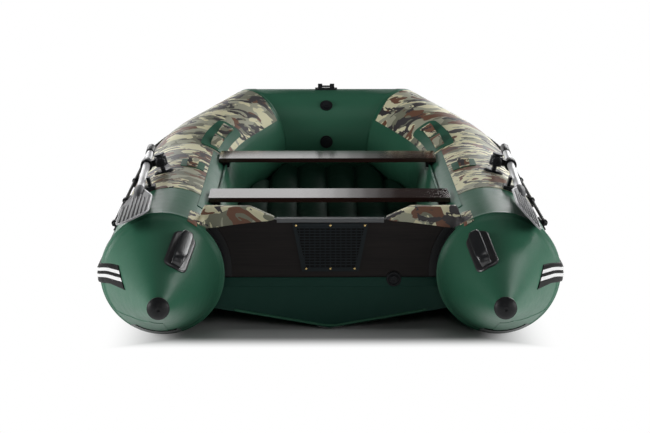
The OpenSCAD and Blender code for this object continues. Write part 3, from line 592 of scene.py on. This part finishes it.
def rub_rail():
    """Rubber rail with two white stripes round the tube, its tails cut on a slant."""
    points = [(across * RAIL_W / RAIL_DRAWN_W, height) for across, height in RAIL_DRAWN]
    bm = bmesh.new()
    line = drawn_ring(bm, points)
    stations = ([-RAIL_TAIL] + spaced(-0.12, -0.03, 0.03) + [0.0] + spaced(0.05, STRAIGHT_END, 0.1) + [SIDE_LEN]
                + spaced(SIDE_LEN + 0.03, BEND_END, 0.025) + [BOW_SEAM - MITRE, BOW_SEAM, BOW_SEAM + MITRE, BOW_MIDDLE])
    upright = Matrix(((0, 0, 1, 0), (1, 0, 0, 0), (0, 1, 0, 0), (0, 0, 0, 1)))
    places = [Matrix.Translation((d, 0, 0)) @ upright for d in stations]
    stripes = [(points[a][0] + points[b][0]) / 2 for a, b in RAIL_STRIPES]
    loft(bm, line, places)
    for f in bm.faces:
        middle = f.calc_center_median()
        if any(abs(middle.y - s) < 0.001 for s in stripes) and middle.z > STRIPE_LOW:
            f.material_index = 1
    open_edges = [e for e in bm.edges if e.is_boundary and max(v.co.x for v in e.verts) < 0]
    bmesh.ops.holes_fill(bm, edges=open_edges, sides=0)
    for v in bm.verts:
        if v.co.x < -RAIL_TAIL + 1e-4:
            v.co.x += RAIL_SLANT * (RAIL_W - v.co.y)
            v.co.z = min(v.co.z, RAIL_END_T + RAIL_END_RELIEF * max(0.0, v.co.z - RAIL_END_T))
    on_rail(bm)
    both_halves(bm)
    outward(bm)
    piece = add_piece(bm, "rub_rail_strip", [rail_rubber, rail_white], sharp=30)
    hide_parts("rub_rail")


rub_rail()

# ---------------------------------------------------------------- printed panels, patches and straps
PANEL_AFT, PANEL_T = 0.5, 0.002
PATCH_TOP = PANEL_T + 0.003


def printed_panel(side, port):
    """Printed cloth over the side, the shoulder and the quarter."""
    outline = [(PANEL_AFT, arc(74)), (PANEL_AFT, arc(-31)), (SIDE_LEN - 0.05, arc(-33)), (SIDE_LEN + 0.1, arc(-53)),
               (BOW_SEAM - 0.10, arc(-53)), (BOW_SEAM - 0.03, arc(-20)), (BOW_SEAM - 0.012, arc(74))]
    bm = flat_piece(outline, 0.03, -0.002, PANEL_T)
    wrap(bm)
    outward(bm)
    return add_piece(bm, side + "_printed_panel", [camo_print], port=port, sharp=50)


panels = [printed_panel(side, port) for side, port in SIDES]
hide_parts("side_panels", "shoulder_panels")


# aft and fore ends, inboard and outboard angles, corner
PATCHES = ((1.555, 1.925, -46, -14, 0.03), (0.955, 1.105, -26, -1, 0.012))


def carry_patch(side, port):
    """Long and short patch under the carry straps."""
    bm = bmesh.new()
    for aft, fore, inboard, outboard, corner in PATCHES:
        outline = [(aft, arc(inboard)), (fore, arc(inboard)), (fore, arc(outboard)), (aft, arc(outboard))]
        append(bm, flat_piece(outline, 0.02, -0.001, PATCH_TOP, corner))
    wrap(bm)
    outward(bm)
    return add_piece(bm, side + "_carry_patch", [patch_pvc], port=port)


patches = [carry_patch(side, port) for side, port in SIDES]
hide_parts("carry_patches")

STRAP_W, STRAP_T, SEWN_END, STRAP_STEPS = 0.04, 0.003, 0.022, 24
# length, rise, distance from the cone seam, angle
STRAPS = ((0.09, 0.026, 1.655, -30), (0.09, 0.026, 1.825, -30), (0.10, 0.02, 1.03, -13))


def webbing_loop(length, rise, at, angle):
    """Webbing strap: two sewn ends and an arch between them, laid on the skin."""
    bm = bmesh.new()
    half = STRAP_W / 2
    line = drawn_ring(bm, [(-half, 0), (half, 0), (half, STRAP_T), (-half, STRAP_T)])
    places = []
    for x in spaced(-length / 2 - SEWN_END, length / 2 + SEWN_END, (length + 2 * SEWN_END) / STRAP_STEPS):
        inside = abs(x) < length / 2
        z = PATCH_TOP + (rise * math.cos(x / length * math.pi) ** 0.8 if inside else 0.0)
        places.append(Matrix.Translation((0, x, z)) @ Matrix.Rotation(math.pi / 2, 4, "X"))
    loft(bm, line, places)
    close_ends(bm)
    bmesh.ops.transform(bm, matrix=Matrix.Rotation(math.pi / 2, 4, "Z"), verts=bm.verts)
    bmesh.ops.translate(bm, vec=(at, arc(angle), 0), verts=bm.verts)
    return bm


def carry_straps(side, port):
    """Two straps on the long patch and one on the short patch."""
    bm = bmesh.new()
    for strap in STRAPS:
        append(bm, webbing_loop(*strap))
    wrap(bm)
    outward(bm)
    return add_piece(bm, side + "_carry_straps", [camo_web], port=port, sharp=35)


straps = [carry_straps(side, port) for side, port in SIDES]
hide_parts("carry_straps")

# ---------------------------------------------------------------- lifelines
ROPE_R, ROPE_ANGLE, ROPE_START = 0.0055, math.radians(62), 0.33
ROPE_HEIGHT = PANEL_T + 0.006 + ROPE_R
ROPE_SIDES, STRANDS, STRAND_BULGE = 12, 3, 0.11
ROPE_STEP, ROPE_LAY = 0.006, 0.42


def lifeline(side, port):
    """Laid rope along the tube through its eyelets."""
    bm = bmesh.new()
    bmesh.ops.create_circle(bm, segments=ROPE_SIDES, radius=ROPE_R)
    for i, v in enumerate(bm.verts):
        v.co *= 1 + STRAND_BULGE * math.cos(STRANDS * math.tau * i / ROPE_SIDES)
    places = []
    twist = 0.0
    for d in spaced(ROPE_START, BEND_END, ROPE_STEP):
        here, ahead = skin_point(d, ROPE_ANGLE, ROPE_HEIGHT), skin_point(d + 0.002, ROPE_ANGLE, ROPE_HEIGHT)
        off = skin_point(d, ROPE_ANGLE, ROPE_HEIGHT + 0.01) - here
        along = (ahead - here).normalized()
        across = along.cross(off).normalized()
        turn = Matrix((across, across.cross(along) * -1, along)).transposed().to_4x4()
        turn.translation = here
        places.append(turn @ Matrix.Rotation(twist, 4, "Z"))
        twist += ROPE_LAY
    loft(bm, bm.verts[:], places)
    close_ends(bm)
    return add_piece(bm, side + "_lifeline", [rope_black], port=port, sharp=80)


ropes = [lifeline(side, port) for side, port in SIDES]
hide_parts("lifelines")

# ---------------------------------------------------------------- cone handles and doublers
HANDLE_AFT, HANDLE_A = 0.2, math.radians(-29)
HANDLE_L, HANDLE_W, HANDLE_T, HANDLE_ROUND = 0.214, 0.078, 0.004, 0.033
HANDLE_FIT = (1.06, 1.13, 1.0)
PAD_STEPS = ((0.002, 0.0018), (0.004, 0.0008), (0.007, -0.0012), (0.003, -0.0006))
GRIP_W, GRIP_HALF, GRIP_THIN = 0.034, 0.0935, 0.002
GRIP_TOP, GRIP_ROUND, GRIP_FLAT = 0.0369, 0.031, 0.063
GAP_TOP, GAP_FLAT, GAP_SLOPE = 0.0265, 0.056, 1.6
CONE_SLOPE = math.atan(CONE_TAPER)


def on_cone(bm):
    """Lays a handle on the cone: x around it, y forward, z off its skin."""
    for v in bm.verts:
        ring = ring_at(-HANDLE_AFT + v.co.y * math.cos(CONE_SLOPE))
        skin = ring.point(HANDLE_A + v.co.x / ring.radius, v.co.z * math.cos(CONE_SLOPE))
        v.co = skin + CONE_DIR * (v.co.z * math.sin(CONE_SLOPE))


def grip_section(y):
    """Half width, underside and top of the moulded grip at a place along it."""
    reach = abs(y)
    bend = math.sqrt(max(0.0, GRIP_ROUND ** 2 - max(0.0, reach - GRIP_FLAT) ** 2))
    top = GRIP_TOP - GRIP_ROUND + bend
    low = max(GRIP_THIN, GAP_TOP - max(0.0, reach - GAP_FLAT) * GAP_SLOPE)
    return GRIP_W / 2 - 0.05 * max(0.0, reach - 0.05), min(low, top - GRIP_THIN), top


def cone_handle(side, port):
    """Dished pad with a moulded grip across it."""
    bm = bmesh.new()
    half = ((-1, -1), (1, -1), (1, 1), (-1, 1))
    corners = [bm.verts.new((x * HANDLE_W / 2, y * HANDLE_L / 2, -0.001)) for x, y in half]
    bm.faces.new(corners)
    bmesh.ops.bevel(bm, geom=corners, offset=HANDLE_ROUND, affect="VERTICES", segments=8, profile=0.5, material=-1)
    raised = bmesh.ops.extrude_face_region(bm, geom=bm.faces[:])["geom"]
    bmesh.ops.translate(bm, vec=(0, 0, HANDLE_T), verts=[g for g in raised if isinstance(g, bmesh.types.BMVert)])
    top = [g for g in raised if isinstance(g, bmesh.types.BMFace)]
    for inset, rise in PAD_STEPS:
        bmesh.ops.inset_region(bm, faces=top, thickness=inset, depth=rise)
    cut_across(bm, 0, -HANDLE_W / 2, HANDLE_W / 2, 0.009)
    cut_across(bm, 1, -HANDLE_L / 2, HANDLE_L / 2, 0.02)
    bmesh.ops.recalc_face_normals(bm, faces=bm.faces)
    grip = bmesh.new()
    bmesh.ops.create_circle(grip, segments=24, radius=1.0)
    for v in grip.verts:
        v.co = [math.copysign(abs(c) ** 0.6, c) for c in v.co]
    places = []
    for y in spaced(-GRIP_HALF, GRIP_HALF, 0.0085):
        wide, low, high = grip_section(y)
        stand = Matrix.Translation((0, y, (low + high) / 2)) @ Matrix.Rotation(math.pi / 2, 4, "X")
        places.append(stand @ Matrix.Diagonal((wide, (high - low) / 2, 1, 1)))
    loft(grip, grip.verts[:], places)
    close_ends(grip)
    append(bm, grip, material=1)
    bmesh.ops.scale(bm, vec=HANDLE_FIT, verts=bm.verts)
    on_cone(bm)
    return add_piece(bm, side + "_cone_handle", [pad_rubber, gloss_rubber], port=port, sharp=50)


handles = [cone_handle(side, port) for side, port in SIDES]
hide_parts("cone_handles")


def cone_doubler(side, port):
    """Second layer of cloth under the cone."""
    outline = [(-0.026, arc(127)), (-0.18, arc(137)), (-0.34, arc(157)), (-0.34, arc(186)), (-0.026, arc(186))]
    bm = flat_piece(outline, 0.02, -0.001, 0.0016)
    wrap(bm)
    outward(bm)
    add_piece(bm, side + "_cone_doubler", [tube_pvc], port=port)


def strip_tail(side, port):
    """End of the protective strip, wrapped on to the cone's underside."""
    outline = [(-0.085, arc(150)), (-0.002, arc(148)), (-0.002, arc(198)), (-0.085, arc(196))]
    bm = flat_piece(outline, 0.02, -0.001, 0.0045, 0.006)
    for f in bm.faces:
        if f.normal.x < -0.7:
            f.material_index = 1
    wrap(bm)
    outward(bm)
    add_piece(bm, side + "_strip_tail", [strip_rubber, rail_rubber], port=port)


for side, port in SIDES:
    cone_doubler(side, port)
    strip_tail(side, port)

# ---------------------------------------------------------------- transom: flaps, screws, rear skin
TRANSOM_AFT, TRANSOM_FORE = SEAM_Y + 0.07, SEAM_Y + 0.10
HEM = ((0.195, 0.3915), (0.212, 0.386), (0.265, 0.382), (0.334, 0.373), (0.393, 0.366), (0.436, 0.362))
FLAP_ROWS, FLAP_T = 27, 0.0016
FLAP_IN, FLAP_OUT, EAR_END = 0.195, 0.49, 0.434
BOARD_TOP, EAR_TOP, EAR_START, EAR_RUN = 0.394, 0.434, 0.19, 0.09
FOLD_SHARE, FOLD_LIP, FLAP_FLARE = 0.16, 0.004, 0.0085
FLAP_AFT = ((0.44, -0.012), (0.462, -0.022), (0.49, -0.016))
FLAP_FORE = ((0.44, 0.20), (0.47, 0.175), (0.49, 0.15))
CREASE_WAY = Vector((0, -0.5, 0.8))


def between(table, x):
    """Value at x on a line drawn through points."""
    for (x0, y0), (x1, y1) in zip(table, table[1:]):
        if x <= x1 or (x1, y1) == table[-1]:
            return y0 + (y1 - y0) * min(1.0, max(0.0, (x - x0) / (x1 - x0)))


def smooth(low, high, x):
    """Rises smoothly from 0 at low to 1 at high."""
    t = min(1.0, max(0.0, (x - low) / (high - low)))
    return t * t * (3 - 2 * t)


def ear_point(x, t):
    """Cloth folded over the plank's ear: t runs from the aft hem over the top to the fore hem."""
    top = min(EAR_TOP, BOARD_TOP + max(0.0, x - EAR_START) / EAR_RUN * (EAR_TOP - BOARD_TOP))
    flare = FLAP_FLARE * smooth(0.35, 0.395, x)
    fall = top - between(HEM, x) - FOLD_LIP
    off = (t - 0.5) * 2
    if abs(off) < FOLD_SHARE:
        reach = (TRANSOM_FORE - TRANSOM_AFT) / 2
        return Vector((x, (TRANSOM_AFT + TRANSOM_FORE) / 2 + off / FOLD_SHARE * reach, top + 0.0015))
    run = (abs(off) - FOLD_SHARE) / (1 - FOLD_SHARE)
    sign, edge = (-1, TRANSOM_AFT) if off < 0 else (1, TRANSOM_FORE)
    return Vector((x, edge + sign * (0.003 + flare * run ** 1.5), top - FOLD_LIP * min(1.0, run * 4) - fall * run))


def tube_point(x, t):
    """Cloth glued to the tube beside the ear."""
    angle = -math.asin((TUBE_X - x) / TUBE_R)
    aft, fore = between(FLAP_AFT, x), between(FLAP_FORE, x)
    return skin_point(aft + (fore - aft) * t, angle, 0.004)


def transom_flap(side, port):
    """Cloth over the plank's ear, creased where it runs on to the tube."""
    bm = bmesh.new()
    columns = spaced(FLAP_IN, EAR_END, 0.012) + spaced(EAR_END + 0.004, FLAP_OUT, 0.005)
    rows = []
    for x in columns:
        row = []
        for j in range(FLAP_ROWS):
            t = j / (FLAP_ROWS - 1)
            over = smooth(EAR_END, 0.462, x)
            place = ear_point(min(x, EAR_END + 0.002), t).lerp(tube_point(max(x, 0.45), t), over)
            place.x = x
            crease = smooth(0.36, 0.44, x) * (1 - smooth(0.465, 0.488, x))
            fold = 0.0022 * math.sin(21 * t + 40 * x) + 0.0016 * math.sin(47 * t - 25 * x)
            place += CREASE_WAY * (crease * (fold + 0.003) * smooth(0, 0.1, t) * (1 - smooth(0.9, 1, t)))
            row.append(bm.verts.new(place))
        rows.append(row)
    for a, b in zip(rows, rows[1:]):
        for i in range(FLAP_ROWS - 1):
            bm.faces.new((a[i], b[i], b[i + 1], a[i + 1]))
    bmesh.ops.recalc_face_normals(bm, faces=bm.faces)
    bmesh.ops.solidify(bm, geom=bm.faces[:], thickness=FLAP_T)
    bmesh.ops.recalc_face_normals(bm, faces=bm.faces)
    piece = add_piece(bm, side + "_transom_flap", [camo_flap], port=port, sharp=60)
    return piece


flaps = [transom_flap(side, port) for side, port in SIDES]
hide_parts("transom_flaps")

PLATE_FLOOR, PLATE_RIDGE = TRANSOM_AFT - 0.0042, TRANSOM_AFT - 0.006
PLATE_FACE = TRANSOM_AFT - 0.007
SCREW_ROWS = ((0.1195, 0.371), (0.0845, 0.218))


def paint_shade_in_hollows(finish, low, high):
    """Painted shade in the hollows of an upright plate, which lie from low to high along y."""
    tree = finish.node_tree
    surface = tree.nodes["Principled BSDF"].inputs["Base Color"]
    unshaded = surface.links[0].from_socket
    depth = add_node(tree, "ShaderNodeSeparateXYZ", {0: object_place(tree)}).outputs["Y"]
    # painted shade: the plate's colour goes nearly black from its ridge tops down to the floor of its hollows
    tree.links.new(blend_colour(tree, fade(tree, depth, low, high), unshaded, (0.0015, 0.002, 0.0025, 1)), surface)


# the motor plate gets painted shade in its hollows
paint_shade_in_hollows(plate_plastic, PLATE_RIDGE, PLATE_FLOOR)


def plate_screws():
    """Domed screws in two rows of three."""
    bm = bmesh.new()
    dome = ((0.0, 0.0035), (0.0018, 0.0033), (0.0036, 0.0024), (0.0046, 0.001), (0.0048, -0.001), (0.0, -0.001))
    face_aft = Matrix.Rotation(math.pi / 2, 4, "X")
    for half, z in SCREW_ROWS:
        for x in (-half, 0, half):
            append(bm, turned(dome, 24), Matrix.Translation((x, PLATE_FACE, z)) @ face_aft)
    add_piece(bm, "plate_screws", [brass])


plate_screws()

VEE_RISE, VEE_LOW, VEE_X = math.tan(math.radians(10)), 0.0105, (-0.335, -0.02, 0.02, 0.335)
BAND_SIZE, BAND_Z, BEAD_R = (0.744, 0.003, 0.034), 0.1695, 0.0045


def rear_skin_seams():
    """Welded band under the board and the bead along the bottom's V."""
    bm = rounded_box(BAND_SIZE, 0.0012)
    bmesh.ops.translate(bm, vec=(0, TRANSOM_AFT - 0.0045, BAND_Z), verts=bm.verts)
    bead = bmesh.new()
    bmesh.ops.create_circle(bead, segments=12, radius=BEAD_R)
    line = [(x, VEE_LOW + abs(x) * VEE_RISE) for x in VEE_X]
    turn = Matrix.Rotation(math.pi / 2, 4, "Y")
    loft(bead, bead.verts[:], [Matrix.Translation((x, TRANSOM_AFT - 0.0035, z)) @ turn for x, z in line])
    close_ends(bead)
    append(bm, bead, material=1)
    add_piece(bm, "rear_skin_seams", [bottom_pvc, tube_pvc])


rear_skin_seams()

# ---------------------------------------------------------------- inflated floor
BEAMS, BEAM_W, FLOOR_IN = 6, 0.1261, 0.2017
FLOOR_TOP, FLOOR_SEAM, FLOOR_LOW = 0.15, 0.119, 0.092
BEAM_STEPS, BEAM_FULLNESS = 14, 0.6


def raised_bow(v, tilt=BOW_RISE):
    """Place in the raised bow, v forward of the kink."""
    return (Matrix.Translation((0, KINK_Y, TUBE_Z)) @ Matrix.Rotation(tilt, 4, "X")
            @ Matrix.Translation((0, v, -TUBE_Z)))


def inflated_floor():
    """Floor of lengthwise beams, cut to the bend of the bow."""
    half = BEAMS * BEAM_W / 2
    line = [(-half, FLOOR_LOW)]
    for i in range(BEAMS):
        for k in range(BEAM_STEPS + (i == BEAMS - 1)):
            t = k / BEAM_STEPS
            swell = math.sin(math.pi * t) ** BEAM_FULLNESS
            line.append((-half + (i + t) * BEAM_W, FLOOR_SEAM + (FLOOR_TOP - FLOOR_SEAM) * swell))
    line.append((half, FLOOR_LOW))
    bm = bmesh.new()
    drawn = drawn_ring(bm, line)
    stand = Matrix.Rotation(math.pi / 2, 4, "X")
    places = [Matrix.Translation((0, y, 0)) @ stand for y in (TRANSOM_FORE + 0.001, KINK_Y - 0.06)]
    places += [raised_bow(0, BOW_RISE / 2) @ stand] + [raised_bow(v) @ stand for v in (0.06, BOW_V - FLOOR_IN - 0.012)]
    loft(bm, drawn, places)
    close_ends(bm)
    reach = BEND_R - FLOOR_IN - 0.01
    for part in (0.25, 0.5, 0.75, 1.0):
        for sign in (1, -1):
            a = BEND_A * part
            spot = raised_bow(reach * math.sin(a)) @ Vector((sign * (TUBE_X - BEND_R + reach * math.cos(a)), 0, TUBE_Z))
            normal = Matrix.Rotation(BOW_RISE, 3, "X") @ Vector((sign * math.cos(a), math.sin(a), 0))
            geom = bm.verts[:] + bm.edges[:] + bm.faces[:]
            bmesh.ops.bisect_plane(bm, geom=geom, plane_co=spot, plane_no=normal, clear_outer=True)
            close_ends(bm)
    outward(bm)
    piece = add_piece(bm, "inflated_floor", [deck_pvc_painted_shade], sharp=50)
    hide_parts("floor_beams_deck")


inflated_floor()

# ---------------------------------------------------------------- oar blades
BLADE_HALF = ((0.019, 0.0), (0.062, -0.19), (0.062, -0.44), (0.032, -0.47))
BLADE_T, BLADE_RIM, BLADE_ROUND = 0.006, 0.003, 0.012
RIB_PITCH, RIB_END, RIB_SIZE = 0.016, -0.44, (0.006, 0.0105)
NECK = ((0.0, 0.03), (0.0145, 0.03), (0.018, 0.028), (0.0195, 0.0), (0.018, -0.05), (0.013, -0.085), (0.006, -0.1),
        (0.0, -0.1))
OARLOCK_D, OARLOCK_LEAN, OAR_HEIGHT = 0.86, math.radians(14.5), 0.046
OAR_PITCH, OAR_TURN, BLADE_START = math.radians(1.5), math.radians(-1.2), (0.056, -0.505, 0)
OAR_PLACE = (Matrix.Translation((TUBE_X, SEAM_Y + OARLOCK_D, TUBE_Z)) @ Matrix.Rotation(OARLOCK_LEAN, 4, "Y")
             @ Matrix.Translation((0, 0, TUBE_R + OAR_HEIGHT)) @ Matrix.Rotation(OAR_PITCH, 4, "X")
             @ Matrix.Rotation(OAR_TURN, 4, "Z") @ Matrix.Translation(BLADE_START))
PORT_ROLL, STARBOARD_ROLL = 10, 33


def oar_blade(side, port, roll):
    """Ribbed blade with a pale rim, turned about its shaft by roll degrees."""
    bm = bmesh.new()
    outline = list(BLADE_HALF) + [(-x, y) for x, y in reversed(BLADE_HALF)]
    corners = [bm.verts.new((x, y, -BLADE_T / 2)) for x, y in outline]
    bm.faces.new(corners)
    bmesh.ops.bevel(bm, geom=[c for c in corners if c.co.y < -0.1], offset=BLADE_ROUND, affect="VERTICES",
                    segments=4, profile=0.5, material=-1)
    raised = bmesh.ops.extrude_face_region(bm, geom=bm.faces[:])["geom"]
    bmesh.ops.translate(bm, vec=(0, 0, BLADE_T), verts=[g for g in raised if isinstance(g, bmesh.types.BMVert)])
    bmesh.ops.recalc_face_normals(bm, faces=bm.faces)
    for f in [f for f in bm.faces if abs(f.normal.z) > 0.9]:
        bmesh.ops.inset_region(bm, faces=[f], thickness=BLADE_RIM, depth=0.0)
        bmesh.ops.inset_region(bm, faces=[f], thickness=0.0008, depth=-0.0011)
        f.material_index = 1
    for f in bm.faces:
        f.material_index = 1 - f.material_index
    for i in range(-3, 4):
        fore = -0.19 if abs(i) > 1 else -0.1
        rib = rounded_box((RIB_SIZE[0], fore - RIB_END, RIB_SIZE[1]), 0.002, 2)
        append(bm, rib, Matrix.Translation((i * RIB_PITCH, (fore + RIB_END) / 2, 0)), material=0)
    bm.transform(Matrix.Rotation(math.radians(roll), 4, "Y"))
    append(bm, turned(NECK, 40), Matrix.Rotation(-math.pi / 2, 4, "X"), material=0)
    bm.transform(OAR_PLACE)
    piece = add_piece(bm, side + "_blade", [blade_grey, blade_edge], side + "_oar", port)
    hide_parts(side + "_oar_blade")


oar_blade("starboard", False, STARBOARD_ROLL)
oar_blade("port", True, PORT_ROLL)

# ---------------------------------------------------------------- rounded edges of boards and fittings
ROUNDED = {"rear_bench": 0.0025, "front_bench": 0.0025, "transom": 0.002, "oarlocks": 0.0015, "oar_clips": 0.0015,
           "port_oar_swivel": 0.0015, "starboard_oar_swivel": 0.0015, "bow_fairlead": 0.0025, "air_valves": 0.0015,
           "port_oar_grip": 0.003, "starboard_oar_grip": 0.003, "cone_caps": 0.003, "transom_trim": 0.001}
WELD_GAP, SHARP_EDGE = 0.00002, math.radians(32)
for name, width in ROUNDED.items():
    weld = nodes[name].modifiers.new("weld", "WELD")
    weld.merge_threshold = WELD_GAP
    edge = nodes[name].modifiers.new("edge", "BEVEL")
    edge.width, edge.segments, edge.limit_method, edge.angle_limit = width, 2, "ANGLE", SHARP_EDGE
    edge.use_clamp_overlap = edge.harden_normals = True

# ---------------------------------------------------------------- floor and light
FLOOR_HALF = 60.0
# the second tone is the paper's colour under the boat, darker than round it: a painted shadow added to the real one
FLOOR_TONE, PAINTED_SHADOW_TONE = 0.92, 0.6
SHADE_BESIDE, SHADE_ASTERN, SHADE_AHEAD = (0.50, 0.78), (-1.06, -1.22), (1.4, 1.6)


def studio():
    """Pale paper that keeps the boat's shadow and is white round it; under the boat the paper is also painted darker, a
    painted shadow on top of the real one.
    """
    bm = bmesh.new()
    bmesh.ops.create_grid(bm, x_segments=1, y_segments=1, size=FLOOR_HALF)
    mesh = bpy.data.meshes.new("studio_floor")
    bm.to_mesh(mesh)
    bm.free()
    floor = bpy.data.objects.new("studio_floor", mesh)
    scene.collection.objects.link(floor)
    pale = bpy.data.materials.new("studio_paper")
    pale.use_nodes = True
    tree = pale.node_tree
    tree.nodes.remove(tree.nodes["Principled BSDF"])
    white = add_node(tree, "ShaderNodeEmission", {"Color": (1, 1, 1, 1), "Strength": 1.0})
    place = add_node(tree, "ShaderNodeSeparateXYZ", {0: object_place(tree)}).outputs
    beside = fade(tree, maths(tree, "ABSOLUTE", place["X"]), *SHADE_BESIDE)
    astern, ahead = fade(tree, place["Y"], *SHADE_ASTERN), fade(tree, place["Y"], *SHADE_AHEAD)
    around = maths(tree, "MAXIMUM", beside, maths(tree, "MAXIMUM", astern, ahead))
    # painted shadow: the paper's own colour is darker inside the region where the boat's shadow falls
    tone = blend_colour(tree, around, (*[PAINTED_SHADOW_TONE] * 3, 1), (*[FLOOR_TONE] * 3, 1))
    paper = add_node(tree, "ShaderNodeBsdfDiffuse", {"Color": tone})
    rays = add_node(tree, "ShaderNodeLightPath").outputs
    mirrored = maths(tree, "MAXIMUM", rays["Is Glossy Ray"], rays["Is Transmission Ray"])
    seen = maths(tree, "MAXIMUM", rays["Is Camera Ray"], mirrored)
    ins = {0: maths(tree, "MULTIPLY", around, seen), 1: paper.outputs[0], 2: white.outputs[0]}
    sheet = add_node(tree, "ShaderNodeMixShader", ins)
    tree.links.new(sheet.outputs[0], tree.nodes["Material Output"].inputs["Surface"])
    mesh.materials.append(pale)


def softbox(name, place, aim, size, watts):
    """Flat studio light turned to its aim."""
    light = bpy.data.lights.new(name, "AREA")
    light.shape, light.size, light.size_y, light.energy = "RECTANGLE", size[0], size[1], watts
    lamp = bpy.data.objects.new(name, light)
    lamp.location = place
    lamp.rotation_euler = (Vector(aim) - Vector(place)).to_track_quat("-Z", "Y").to_euler()
    scene.collection.objects.link(lamp)


studio()
softbox("left_softbox", (-4.5, -1.0, 1.1), (-0.4, -0.6, 0.2), (3.0, 1.8), 152)
softbox("right_softbox", (4.5, -1.0, 1.1), (0.4, -0.6, 0.2), (3.0, 1.8), 112)
softbox("right_fill", (4.0, -5.0, 2.0), (0.6, -1.0, 0.2), (2.4, 2.4), 40)
softbox("right_rim", (4.0, 4.6, 4.2), (0, -0.6, 0.2), (2.4, 2.4), 110)
softbox("top_softbox", (0, -0.6, 4.6), (0, 0.2, 0), (3.0, 1.6), 24)
softbox("front_fill", (0, -6.5, 2.8), (0, -1.2, 0.0), (2.4, 1.6), 16)
CARD_Y, CARD_Z, CARD_H, BENCH_AIM = 7.0, 1.7, 1.6, (0, 0, 0.4)
FADE_X, FADE_W, FADE_WATTS, FADE_SHARES = -0.07, 0.11, 0.48, (0.95, 0.82, 0.6, 0.36, 0.18, 0.07)
softbox("left_card", (-3.0, CARD_Y, CARD_Z), (-0.5, 0, 0.4), (4.1, CARD_H), 120)
softbox("bench_card", (-0.5375, CARD_Y, CARD_Z), BENCH_AIM, (0.825, CARD_H), 3.6)
for step, share in enumerate(FADE_SHARES):
    softbox("bench_card_fade_%d" % (step + 1), (FADE_W * step + FADE_X, CARD_Y, CARD_Z), BENCH_AIM, (FADE_W, CARD_H),
            FADE_WATTS * share)
softbox("right_card", (3.1, CARD_Y, CARD_Z + 0.1), (0.5, 0, 0.4), (4.3, CARD_H), 150)

# grey of the air by height, from the horizon to overhead
AIR_BANDS = ((0.0, 0.06), (0.08, 0.03), (0.25, 0.01), (1.0, 0.03))
world = bpy.data.worlds.new("studio_air")
scene.world = world
world.use_nodes = True
sky = world.node_tree
facing = add_node(sky, "ShaderNodeTexCoord").outputs["Generated"]
height = add_node(sky, "ShaderNodeSeparateXYZ", {0: facing}).outputs["Z"]
air = ramp(sky, height, [(at, (grey, grey, grey)) for at, grey in AIR_BANDS])
glow = sky.nodes["Background"]
sky.links.new(air, glow.inputs["Color"])
glow.inputs["Strength"].default_value = 1.0
